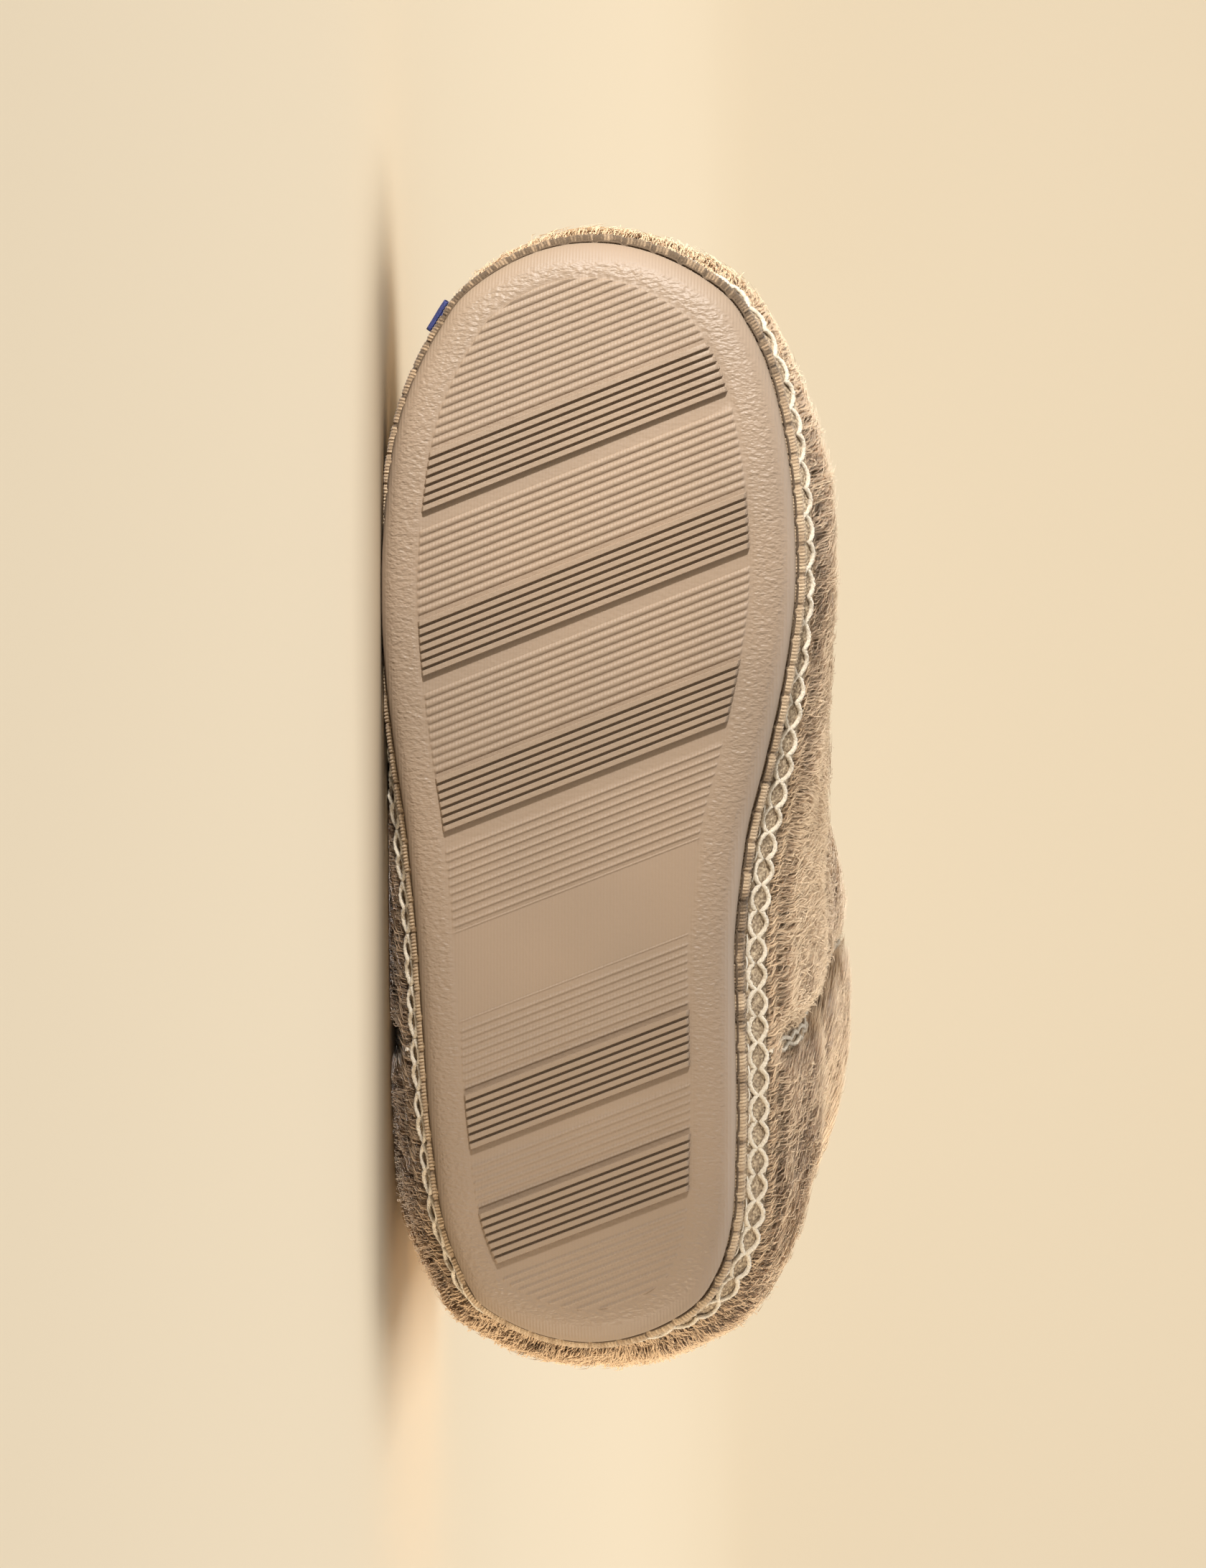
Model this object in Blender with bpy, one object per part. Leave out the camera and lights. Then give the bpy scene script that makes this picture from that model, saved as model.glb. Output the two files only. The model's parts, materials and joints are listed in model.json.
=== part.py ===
"""A fur slipper boot for the right foot, lying on its outer side.

The boot is worked out upright in its own frame, in millimetres: X towards the
outer side, Y from the heel to the toe, Z up from the tops of the tread ribs.
It is then laid down: the tread faces -Y, the toe points to -X, and the outer
edge of the sole and the outer side of the fur lie on Z = 0.
"""

import math

import bmesh
import bpy
import numpy as np
from mathutils import Matrix

MM = 0.001

# Driving sizes of the boot, in millimetres
SOLE_LENGTH = 272.0
REST_SIDE = 51.3
REST_HEIGHT = 8.0
REST_ROLL = math.radians(2.5)
COLLAR_HEIGHT = 166.0
WALL = 3.0
GAP = 0.3

# Toe spring: a parabola that starts at the ball
SPRING_RISE = 6.0
SPRING_FROM = 198.0

# Points round every ring: half of them on each side
SIDE_COLUMNS = 44

# Differences that directions are taken over: radians round a ring, and millimetres of height
TURN_STEP = 0.01
WALL_TURN_STEP = 0.02
WALL_RISE_STEP = 0.8

# Tread: the plane between the ribs, its distance from the edge, and the bands of ribs
TREAD_PLANE = 1.3
TREAD_INSET_ENDS = 8.7
TREAD_INSET_SIDES = 10.1
TREAD_INSET_SKEW = 0.5
RIB_SLOPE = math.tan(math.radians(21.5))
RIB_PITCH = 2.1
RIB_FOOT = 1.8
RIB_TOP = 1.35
RIB_ROOT = 1.0
RIBS_IN_BAND = 7

# Rand tape and braid: heights above the tread and distances from the wall behind them
TAPE_LOW = 10.0
TAPE_HIGH = 14.2
TAPE_BACK = -1.8
TAPE_FRONT = 2.4
TAPE_ROUND = 0.9
BRAID_LOW = 15.8
BRAID_MIDDLE = 17.2
BRAID_HIGH = 19.9
BRAID_THICK = 1.2
FLOOR_TRIM = 1.8

# Side seams: a channel in the pile with a braid band on its floor
CHANNEL_FLOOR = 3.2
CHANNEL_TOP = 6.6
CHANNEL_BACK_COLUMNS = 16
SEAM_BRAID_HALF = 2.4
SEAM_BRAID_LOW = 21.0

# Locks of fur: tufts raised at their tips and drawn down along the nap
PILE_START = 20.2
PILE_HALF = 21.4
PILE_FULL = 23.5
PILE_AT_COLLAR = 0.8
COLLAR_BAND = 20.0
LOCK_RISE = 2.4
LOCK_DROP = 3.6
LOCK_COLUMNS = 2
LOCK_LEVELS = 3
LOCK_LEAST = 0.5
LOCK_MOST = 1.2
LOCK_SEED = 11
COLLAR_CREST = 2.6

# Insole
INSOLE_LOW = 10.0
INSOLE_HIGH = 13.7
INSOLE_INSET = -5.6

# Folded tab at the outer side of the toe
TAB_FROM_HEEL = 252.5
TAB_HALF = 4.0
TAB_THICK = 1.2
TAB_HOLLOW = 11.0


def table(names, rows):
    """A short table whose columns are read by name."""
    return dict(zip(names.split(), np.array(rows, dtype=float).T))


SOLE_OUTLINE = table("from_heel outer inner", (
    (7.0, 23.8, 22.9),
    (17.6, 31.7, 31.9),
    (28.0, 35.6, 35.1),
    (49.0, 38.8, 36.5),
    (81.0, 41.3, 36.3),
    (102.0, 42.7, 36.2),
    (123.5, 44.8, 38.6),
    (144.5, 47.8, 43.6),
    (166.0, 50.4, 48.3),
    (187.0, 51.5, 51.0),
    (208.0, 50.1, 50.4),
    (229.0, 46.6, 47.3),
    (250.5, 37.2, 39.5),
    (261.0, 29.0, 31.0),
))

# Border of the outsole from the tread up to its top edge
SOLE_PROFILE = table("share_of_inset height", (
    (1.00, 1.3),
    (0.62, 1.6),
    (0.30, 2.4),
    (0.08, 4.0),
    (0.00, 6.2),
    (0.00, 9.2),
    (0.05, 9.7),
))

RIB_BANDS = table("middle", ((228.6,), (188.1,), (147.7,), (66.5,), (35.7,)))

# The upper's cloth wall, a row for each height: how far it stands out from the sole's
# outline, how much more so on the inner side, its ends, and the oval that it becomes
UPPER_LEVELS = table("height grow flare back front widest outer inner oval", (
    (10.0, -2.1, 0.0, 2.1, 269.9, 150.0, 50.0, 50.0, 0.00),
    (14.4, -2.1, 0.0, 2.1, 269.9, 150.0, 50.0, 50.0, 0.00),
    (17.2, -1.4, 0.3, 1.4, 270.6, 150.0, 50.0, 50.0, 0.00),
    (20.0, -0.6, 0.6, 0.6, 271.4, 150.0, 50.0, 50.0, 0.00),
    (28.0, 0.6, 0.6, -1.6, 271.0, 148.0, 50.5, 51.0, 0.08),
    (38.0, 1.0, 0.4, -3.6, 267.5, 138.0, 51.5, 51.5, 0.27),
    (46.0, 1.0, 0.3, -4.4, 260.5, 128.0, 52.0, 51.5, 0.44),
    (53.0, 1.0, 0.2, -4.4, 249.0, 120.0, 52.0, 51.0, 0.58),
    (61.0, 1.0, 0.0, -3.6, 230.0, 112.0, 52.0, 50.5, 0.72),
    (70.0, 1.0, 0.0, -2.4, 206.0, 105.0, 52.0, 50.0, 0.84),
    (80.0, 1.0, 0.0, -1.0, 183.5, 99.0, 52.0, 49.5, 0.93),
    (92.0, 1.0, 0.0, 0.6, 164.0, 93.0, 52.0, 49.0, 1.00),
    (106.0, 1.0, 0.0, 1.6, 151.0, 89.0, 52.0, 49.0, 1.00),
    (125.0, 1.0, 0.0, 1.2, 142.5, 84.0, 52.0, 49.0, 1.00),
    (148.0, 1.0, 0.0, -0.6, 139.5, 80.0, 52.5, 49.5, 1.00),
    (166.0, 1.0, 0.0, -2.0, 140.0, 78.0, 52.5, 50.0, 1.00),
))
OVAL_POWER = 2.3

# Where the wall overhangs the sole, from the heel to the ball: a cone through the braid
OVERHANG = 5.4
OVERHANG_LOW = 14.4
OVERHANG_HIGH = 20.2
OVERHANG_FULL = 128.0
OVERHANG_NONE = 188.0

PILE_ALONG = table("from_heel pile", (
    (0.0, 5.5),
    (185.0, 5.5),
    (232.0, 3.6),
    (272.0, 5.0),
))

TAB_PROFILE = table("out height", (
    (2.0, 14.6),
    (2.9, 18.0),
    (4.2, 23.5),
))

SEAM_LINE = table("height from_heel", (
    (10.0, 70.0),
    (45.0, 74.0),
    (110.0, 85.0),
    (166.0, 88.0),
))

# Creases and swells of the wall: side is 1 outer, -1 inner, 0 both; lift is out of the wall.
# Those of one side fade over the middle, and all fade towards the braid
FOLD_SIDE_FADE = 12.0
FOLDS_FULL = 40.0
FOLDS = table("side from_heel height lift along across lean", (
    (0.0, 18.0, 66.0, -5.5, 52.0, 7.0, 0.08),
    (0.0, 45.0, 44.0, 5.5, 38.0, 19.0, 0.00),
    (0.0, 156.0, 99.0, -4.0, 26.0, 8.0, -0.50),
    (-1.0, 118.0, 62.0, -2.6, 30.0, 6.5, -0.45),
    (-1.0, 120.0, 84.0, -2.4, 26.0, 6.0, -0.50),
    (-1.0, 116.0, 112.0, 3.0, 24.0, 20.0, 0.00),
    (0.0, 20.0, 92.0, 2.0, 50.0, 14.0, 0.00),
))

OUTER_HEIGHTS = np.concatenate((
    (10.0, 14.4, BRAID_MIDDLE, PILE_START, PILE_HALF, PILE_FULL),
    np.linspace(28.0, 160.0, 22),
    (COLLAR_HEIGHT,),
))
INNER_HEIGHTS = np.array((164.0, 143.0, 122.0, 104.0, 88.0, 74.0, 61.0, 48.0, 34.0, 21.0, 10.0))


def through(rows, key, column, at):
    """A smooth curve through a column of a table, with no overshoot, level past both ends."""
    knots, values = rows[key], rows[column]
    steps = np.diff(knots)
    slopes = np.diff(values) / steps
    product = slopes[:-1] * slopes[1:]
    total = slopes[:-1] + slopes[1:]
    tangents = np.zeros_like(values)
    tangents[1:-1] = np.where(product > 0, 2 * product / np.where(product > 0, total, 1), 0)
    at = np.clip(at, knots[0], knots[-1])
    cell = np.clip(np.searchsorted(knots, at, side="right") - 1, 0, len(steps) - 1)
    share = (at - knots[cell]) / steps[cell]
    back = 1 - share
    ends = values[cell] * back**2 * (1 + 2 * share) + values[cell + 1] * share**2 * (1 + 2 * back)
    lean = tangents[cell] * back**2 * share - tangents[cell + 1] * share**2 * back
    return ends + lean * steps[cell]


def soft_step(low, high, at):
    """0 below low, 1 above high, and smooth between."""
    share = np.clip((at - low) / (high - low), 0, 1)
    return share * share * (3 - 2 * share)


def outline(turn):
    """The sole's edge at an angle round it: 0 at the heel, pi at the toe, the outer side first."""
    knots = SOLE_OUTLINE["from_heel"]
    round_end = 2 * np.sqrt(knots / SOLE_LENGTH * (1 - knots / SOLE_LENGTH))
    fullness = dict(from_heel=knots)
    for side in ("outer", "inner"):
        fullness[side] = SOLE_OUTLINE[side] / round_end
    along = SOLE_LENGTH * (1 - np.cos(turn)) / 2
    outer = through(fullness, "from_heel", "outer", along)
    inner = through(fullness, "from_heel", "inner", along)
    return np.stack((np.where(np.sin(turn) >= 0, outer, inner) * np.sin(turn), along), -1)


def outline_out(turn):
    """The unit direction out of the sole's edge."""
    along = outline(turn + TURN_STEP) - outline(turn - TURN_STEP)
    out = np.stack((along[..., 1], -along[..., 0]), -1)
    return out / np.linalg.norm(out, axis=-1, keepdims=True)


def offset_outline(turn, offset):
    """The sole's edge moved out by an offset."""
    return outline(turn) + np.asarray(offset)[..., None] * outline_out(turn)


def tread_inset(turn):
    """How far the tread lies inside the sole's edge: least at toe and heel, most on the inner side."""
    across = outline_out(turn)[..., 0]
    sides = TREAD_INSET_ENDS + (TREAD_INSET_SIDES - TREAD_INSET_ENDS) * across**2
    return sides - TREAD_INSET_SKEW * across


def toe_spring(points):
    """Lifts points in front of the ball along the toe's parabola."""
    share = np.clip((points[..., 1] - SPRING_FROM) / (SOLE_LENGTH - SPRING_FROM), 0, None)
    return points + np.stack((0 * share, 0 * share, SPRING_RISE * share**2), -1)


def rest(points, clearance=0.0):
    """Flattens points against the slightly rolled plane that the outer side lies on."""
    plane = REST_SIDE + (points[..., 2] - REST_HEIGHT) * math.tan(REST_ROLL) - clearance
    return np.stack((np.minimum(points[..., 0], plane), points[..., 1], points[..., 2]), -1)


def ring_turns():
    """Angles of the points of a ring, evenly spread."""
    return np.linspace(0, 2 * np.pi, 2 * SIDE_COLUMNS, endpoint=False)


def cloth(turn, height):
    """The cloth wall of the upper: the sole's outline below, growing into an oval shaft above."""
    row = {name: through(UPPER_LEVELS, "height", name, height) for name in UPPER_LEVELS}
    across = outline_out(turn)[..., 0]
    along = SOLE_LENGTH * (1 - np.cos(turn)) / 2
    sides = (1 - soft_step(OVERHANG_FULL, OVERHANG_NONE, along)) * np.abs(across)
    cone = np.clip((height - OVERHANG_LOW) / (OVERHANG_HIGH - OVERHANG_LOW), 0, 1)
    last = offset_outline(turn, row["grow"] - row["flare"] * across + OVERHANG * sides * cone)
    reach = row["front"] - row["back"]
    last_y = row["back"] + (last[..., 1] + row["grow"]) * reach / (SOLE_LENGTH + 2 * row["grow"])
    oval_y = row["back"] + reach * (1 - np.cos(turn)) / 2
    behind = (row["widest"] - oval_y) / (row["widest"] - row["back"])
    before = (oval_y - row["widest"]) / (row["front"] - row["widest"])
    share = np.clip(np.where(oval_y < row["widest"], behind, before), 0, 1)
    half = np.where(np.sin(turn) >= 0, row["outer"], row["inner"])
    oval_x = np.sign(np.sin(turn)) * half * (1 - share**OVAL_POWER) ** (1 / OVAL_POWER)
    mix = row["oval"]
    wall = np.stack((
        (1 - mix) * last[..., 0] + mix * oval_x,
        (1 - mix) * last_y + mix * oval_y,
        height + 0 * turn,
    ), -1)
    return rest(wall, FLOOR_TRIM)


def cloth_out(turn, height):
    """The unit direction out of the cloth wall."""
    around = cloth(turn + WALL_TURN_STEP, height) - cloth(turn - WALL_TURN_STEP, height)
    upward = cloth(turn, height + WALL_RISE_STEP) - cloth(turn, height - WALL_RISE_STEP)
    out = np.cross(around, upward)
    return out / np.linalg.norm(out, axis=-1, keepdims=True)


def fold_lift(points):
    """The creases and swells at points of the wall, summed over the table."""
    lift = np.zeros(points.shape[:-1])
    for side, from_heel, height, depth, along, across, lean in zip(*FOLDS.values()):
        away = points[..., 1] - from_heel
        over = points[..., 2] - height - lean * away
        half = 1.0 if side == 0 else (1 + np.tanh(side * points[..., 0] / FOLD_SIDE_FADE)) / 2
        lift += depth * half * np.exp(-((away / along) ** 2) - (over / across) ** 2)
    return lift * soft_step(PILE_START, FOLDS_FULL, points[..., 2])


def on_upper(turn, height, lift):
    """A point at a distance from the creased wall, out of it where lift is positive."""
    wall = cloth(turn, height)
    return wall + (fold_lift(wall) + lift)[..., None] * cloth_out(turn, height)


def seam_turn(height):
    """The angle of the outer side seam at a height, and millimetres along the wall for each radian."""
    back = through(UPPER_LEVELS, "height", "back", height)
    front = through(UPPER_LEVELS, "height", "front", height)
    along = through(SEAM_LINE, "height", "from_heel", height)
    turn = np.arccos(1 - 2 * (along - back) / (front - back))
    return turn, (front - back) / 2 * np.sin(turn)


def upper_turns(heights):
    """Angles of the wall's columns at each height, with two columns on the floor of each seam."""
    seam, scale = seam_turn(heights)
    floor, edge = CHANNEL_FLOOR / scale, CHANNEL_TOP / scale
    front_columns = SIDE_COLUMNS - CHANNEL_BACK_COLUMNS - 3
    back = np.linspace(0 * seam, seam - edge, CHANNEL_BACK_COLUMNS + 1, axis=-1)
    front = np.linspace(seam + edge, 0 * seam + np.pi, front_columns + 1, axis=-1)
    side = np.concatenate((back, (seam - floor)[:, None], (seam + floor)[:, None], front), axis=-1)
    return np.concatenate((side, 2 * np.pi - side[:, -2:0:-1]), axis=-1)


def seam_columns():
    """Which columns lie on the floors of the two side seams."""
    side = np.array((CHANNEL_BACK_COLUMNS + 1, CHANNEL_BACK_COLUMNS + 2))
    return np.concatenate((side, 2 * SIDE_COLUMNS - side))


def pile_depth(turns, heights):
    """Depth of the pile: short at the toe and the collar, none below the braid, pressed behind the tab."""
    wall = cloth(turns, heights)
    full = through(PILE_ALONG, "from_heel", "pile", wall[..., 1])
    collar = 1 - (1 - PILE_AT_COLLAR) * soft_step(COLLAR_HEIGHT - COLLAR_BAND, COLLAR_HEIGHT, heights)
    aside = ((wall[..., 1] - TAB_FROM_HEEL) / TAB_HOLLOW) ** 2 + ((heights - BRAID_HIGH) / TAB_HOLLOW) ** 2
    pressed = np.where(np.sin(turns) > 0, np.exp(-aside), 0)
    return full * collar * (1 - pressed) * soft_step(PILE_START, PILE_FULL, heights)


def fur_surface():
    """The outside of the upper: cloth below, pile above the braid, with tufts drawn down at their tips."""
    heights = OUTER_HEIGHTS[:, None]
    turns = upper_turns(OUTER_HEIGHTS)
    columns = np.arange(turns.shape[1])[None, :]
    levels = np.arange(len(OUTER_HEIGHTS))[:, None]
    furred = np.where(np.isin(columns, seam_columns()), 0.0, 1.0)
    pile = furred * pile_depth(turns, heights)

    tip = (columns % LOCK_COLUMNS == 0) & ((levels + columns // LOCK_COLUMNS) % LOCK_LEVELS == 0)
    tip = tip & (heights > PILE_FULL) & (heights < COLLAR_HEIGHT)
    shares = np.random.default_rng(LOCK_SEED).uniform(LOCK_LEAST, LOCK_MOST, tip.shape)
    lock = np.where(tip, shares, 0.0) * pile / PILE_ALONG["pile"].max()
    return rest(on_upper(turns, heights - LOCK_DROP * lock, pile + LOCK_RISE * lock))


def inside_surface():
    """The inside of the upper, from the collar down to its open bottom edge."""
    heights = INNER_HEIGHTS[:, None]
    return on_upper(upper_turns(INNER_HEIGHTS), heights, np.full_like(heights, -WALL))


def collar_crest():
    """The rounded edge of the collar, half way through the wall."""
    turns = upper_turns(np.array((COLLAR_HEIGHT,)))
    crest = on_upper(turns, np.full((1, 1), COLLAR_HEIGHT), np.full((1, 1), COLLAR_CREST / 2))
    return rest(crest + (0, 0, COLLAR_CREST), FLOOR_TRIM)


def material(name, colour, roughness):
    """A plain finish for one piece."""
    finish = bpy.data.materials.new(name)
    finish.use_nodes = True
    shader = finish.node_tree.nodes["Principled BSDF"]
    shader.inputs["Base Color"].default_value = (*colour, 1.0)
    shader.inputs["Roughness"].default_value = roughness
    shader.inputs["Metallic"].default_value = 0.0
    return finish


def add_piece(name, points, faces, finish, crease=50.0):
    """A mesh object from points in millimetres, sprung at the toe, with its faces pointing out."""
    shape = bmesh.new()
    corners = [shape.verts.new(point) for point in toe_spring(points) * MM]
    for face in faces:
        shape.faces.new([corners[index] for index in face])
    bmesh.ops.recalc_face_normals(shape, faces=shape.faces)
    mesh = bpy.data.meshes.new(name)
    shape.to_mesh(mesh)
    shape.free()
    mesh.shade_smooth()
    mesh.set_sharp_from_angle(angle=math.radians(crease))
    mesh.materials.append(finish)
    piece = bpy.data.objects.new(name, mesh)
    bpy.context.collection.objects.link(piece)
    return piece


def strip_faces(rings, columns, closed):
    """Quads between neighbouring rings of points, and from the last ring to the first where closed."""
    faces = []
    for ring in range(rings if closed else rings - 1):
        here, there = ring * columns, (ring + 1) % rings * columns
        for column in range(columns):
            side = (column + 1) % columns
            faces.append((here + column, here + side, there + side, there + column))
    return faces


def cap_faces(start, columns):
    """A flat cover of one ring: strips across it from the heel to the toe."""
    faces = []
    for column in range(columns // 2):
        across = (start + column, start + column + 1, start + columns - column - 1)
        last = () if column == 0 else (start + columns - column,)
        faces.append(tuple(dict.fromkeys(across + last)))
    return faces


def add_ring_piece(name, rings, finish):
    """A piece that closes on itself both ways, such as a hollow wall or a hoop."""
    return add_piece(name, rings.reshape(-1, 3), strip_faces(*rings.shape[:2], True), finish)


def add_stack_piece(name, rings, finish):
    """A solid stack of rings with a cover at each end."""
    count, columns = rings.shape[:2]
    covers = cap_faces(0, columns) + cap_faces((count - 1) * columns, columns)
    return add_piece(name, rings.reshape(-1, 3), strip_faces(count, columns, False) + covers, finish)


def add_bar_piece(name, rings, finish):
    """A bar through four-cornered sections, closed at its two ends."""
    count = len(rings)
    ends = [(0, 1, 2, 3), tuple(range(4 * count - 4, 4 * count))]
    return add_piece(name, rings.reshape(-1, 3), strip_faces(count, 4, False) + ends, finish)


def level_ring(flat, height):
    """A ring of plan points at one height."""
    return np.concatenate((flat, np.full((len(flat), 1), height)), axis=-1)


def tread_crossings(across):
    """The two ends of the slanting line at a place along the sole, where it meets the tread's edge."""
    turn = np.linspace(0, 2 * np.pi, 721)
    edge = offset_outline(turn, -tread_inset(turn))
    side = edge[:, 1] + edge[:, 0] * RIB_SLOPE - across
    before = np.flatnonzero(side[:-1] * side[1:] < 0)
    share = (side[before] / (side[before] - side[before + 1]))[:, None]
    ends = edge[before] * (1 - share) + edge[before + 1] * share
    return ends[np.argsort(ends[:, 0])]


def add_ribs(finish):
    """All the raised ribs as one guide: bars that taper to their tops and are rooted in the sole."""
    points, faces = [], []
    root = TREAD_PLANE + RIB_ROOT
    for middle in RIB_BANDS["middle"]:
        for count in range(RIBS_IN_BAND):
            place = middle + (count - (RIBS_IN_BAND - 1) / 2) * RIB_PITCH
            start = len(points)
            for width, height in ((RIB_FOOT, root), (RIB_TOP, 0.0)):
                low, high = tread_crossings(place - width / 2), tread_crossings(place + width / 2)
                corners = (low[0], low[1], high[1], high[0])
                points.extend((*corner, height) for corner in corners)
            faces.extend(
                tuple(start + corner for corner in face)
                for face in strip_faces(2, 4, False) + [(0, 1, 2, 3), (4, 5, 6, 7)]
            )
    ribs = add_piece("tread_ribs", np.array(points), faces, finish)
    ribs.hide_render = True
    ribs.display_type = "WIRE"
    return ribs


def add_outsole():
    """The moulded sole: a border that rounds up to the edge, with the ribs joined on."""
    finish = material("beige_rubber", (0.48, 0.33, 0.20), 0.55)
    turn = ring_turns()
    rings = [
        level_ring(offset_outline(turn, -share * tread_inset(turn)), height)
        for share, height in zip(*SOLE_PROFILE.values())
    ]
    outsole = add_stack_piece("outsole", rest(np.array(rings)), finish)
    join = outsole.modifiers.new("tread", "BOOLEAN")
    join.operation = "UNION"
    join.solver = "EXACT"
    join.object = add_ribs(finish)


def add_insole():
    """The padded sole inside the wall."""
    flat = offset_outline(ring_turns(), np.full(2 * SIDE_COLUMNS, INSOLE_INSET))
    rings = np.array((level_ring(flat, INSOLE_LOW), level_ring(flat, INSOLE_HIGH)))
    add_stack_piece("insole", rings, material("cream_fleece", (0.62, 0.50, 0.38), 0.95))


def add_rand_tape():
    """The binding on the sole's edge: a rounded strip carried round the outline."""
    section = (
        (TAPE_BACK, TAPE_LOW),
        (TAPE_FRONT - TAPE_ROUND, TAPE_LOW),
        (TAPE_FRONT, (TAPE_LOW + TAPE_HIGH) / 2),
        (TAPE_FRONT - TAPE_ROUND, TAPE_HIGH),
        (TAPE_BACK, TAPE_HIGH),
    )
    turn = ring_turns()
    rings = [level_ring(offset_outline(turn, np.full(len(turn), out)), height) for out, height in section]
    add_ring_piece("rand_tape", rest(np.array(rings)), material("tan_yarn", (0.36, 0.25, 0.16), 0.9))


def add_sole_braid():
    """The band under the chain braid, on the wall above the tape: up its back and down its front."""
    upward = np.array((BRAID_LOW, BRAID_MIDDLE, BRAID_HIGH))
    heights = np.concatenate((upward, upward[::-1]))
    lifts = GAP + BRAID_THICK * np.repeat((0.0, 1.0), len(upward))
    rings = on_upper(upper_turns(heights), heights[:, None], lifts[:, None])
    add_ring_piece("sole_braid", rest(rings), material("cream_cord", (0.66, 0.54, 0.40), 0.85))


def add_seam_braids():
    """A braid band on the floor of each side seam, from the sole braid to the collar."""
    heights = OUTER_HEIGHTS[OUTER_HEIGHTS > SEAM_BRAID_LOW]
    seam, scale = seam_turn(heights)
    half = SEAM_BRAID_HALF / scale
    for name, side in (("seam_braid_outer", 1.0), ("seam_braid_inner", -1.0)):
        turns = np.stack((seam - half, seam + half, seam + half, seam - half), -1) * side
        lifts = np.array((GAP, GAP, GAP + BRAID_THICK, GAP + BRAID_THICK))
        rings = rest(on_upper(turns, heights[:, None] + 0 * turns, lifts + 0 * turns))
        add_bar_piece(name, rings, material(name, (0.66, 0.54, 0.40), 0.85))


def add_side_tab():
    """A small folded tab that stands up from the tape at the outer side of the toe."""
    middle = np.arccos(1 - 2 * TAB_FROM_HEEL / SOLE_LENGTH)
    ahead = outline(middle + TURN_STEP) - outline(middle - TURN_STEP)
    reach = TAB_HALF * 2 * TURN_STEP / np.linalg.norm(ahead)
    turn = middle + reach * np.array((-1, 1, 1, -1))
    rings = []
    for out, height in zip(*TAB_PROFILE.values()):
        flat = offset_outline(turn, out + TAB_THICK * np.array((0, 0, 1, 1)))
        rings.append(level_ring(flat, height))
    add_bar_piece("side_tab", np.array(rings), material("blue_tab", (0.05, 0.16, 0.42), 0.6))


def add_upper():
    """The fur boot: one hollow wall, open at the collar and underneath."""
    rings = np.concatenate((fur_surface(), collar_crest(), inside_surface()))
    add_ring_piece("upper", rings, material("taupe_fur", (0.42, 0.30, 0.20), 0.95))


def lay_down():
    """Turns the boot onto its outer side, centred over the origin."""
    pieces = [item for item in bpy.data.objects if item.type == "MESH"]
    cos, sin = math.cos(REST_ROLL), math.sin(REST_ROLL)
    turned = Matrix(((0, -1, 0), (sin, 0, cos), (-cos, 0, sin)))
    corners = np.array([tuple(turned @ corner.co) for piece in pieces for corner in piece.data.vertices])
    middle = (corners.min(axis=0) + corners.max(axis=0)) / 2
    boot = bpy.data.objects.new("boot", None)
    bpy.context.collection.objects.link(boot)
    boot.rotation_euler = turned.to_euler()
    boot.location = (-middle[0], -middle[1], (REST_SIDE * cos - REST_HEIGHT * sin) * MM)
    for piece in pieces:
        piece.parent = boot


def main():
    for item in list(bpy.data.objects):
        bpy.data.objects.remove(item, do_unlink=True)
    add_outsole()
    add_insole()
    add_rand_tape()
    add_sole_braid()
    add_upper()
    add_seam_braids()
    add_side_tab()
    lay_down()


main()
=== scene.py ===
# %% [markdown]
# # A fur slipper boot, lying on its outer side
# The boot is a rubber sole, a yarn binding, chain braids, a fur upper and a small blue tab.
# This lesson dresses the plain solids of the boot with surfaces that are worked out as
# whole arrays of numbers, so each shape stays one short formula.

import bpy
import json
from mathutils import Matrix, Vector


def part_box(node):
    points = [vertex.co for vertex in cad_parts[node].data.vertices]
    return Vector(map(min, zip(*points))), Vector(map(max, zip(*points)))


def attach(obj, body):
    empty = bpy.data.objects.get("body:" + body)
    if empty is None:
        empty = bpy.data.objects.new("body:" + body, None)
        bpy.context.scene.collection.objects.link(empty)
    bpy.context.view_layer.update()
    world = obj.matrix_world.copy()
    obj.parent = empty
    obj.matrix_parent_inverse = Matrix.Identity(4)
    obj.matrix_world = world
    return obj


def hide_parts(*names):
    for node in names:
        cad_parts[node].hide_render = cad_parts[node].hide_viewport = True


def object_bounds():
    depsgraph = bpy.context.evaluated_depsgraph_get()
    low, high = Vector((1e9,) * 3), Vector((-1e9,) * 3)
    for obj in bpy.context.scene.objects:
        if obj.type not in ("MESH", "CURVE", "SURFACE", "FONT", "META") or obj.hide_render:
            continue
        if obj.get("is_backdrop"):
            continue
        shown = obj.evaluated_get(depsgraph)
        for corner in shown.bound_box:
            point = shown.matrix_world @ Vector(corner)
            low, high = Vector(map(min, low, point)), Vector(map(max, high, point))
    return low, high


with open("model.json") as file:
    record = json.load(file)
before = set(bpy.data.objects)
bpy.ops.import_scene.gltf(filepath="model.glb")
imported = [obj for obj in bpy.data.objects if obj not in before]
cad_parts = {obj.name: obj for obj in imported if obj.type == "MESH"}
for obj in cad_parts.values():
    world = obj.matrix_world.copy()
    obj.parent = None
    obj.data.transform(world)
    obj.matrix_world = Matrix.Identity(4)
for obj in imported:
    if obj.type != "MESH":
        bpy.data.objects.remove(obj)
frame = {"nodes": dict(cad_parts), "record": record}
cad_low, cad_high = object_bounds()
print("solids:", sorted(frame["nodes"]))

# %% Modules and units
import json
import math

import bpy
import numpy as np
from mathutils import Matrix

MM = 0.001

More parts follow.
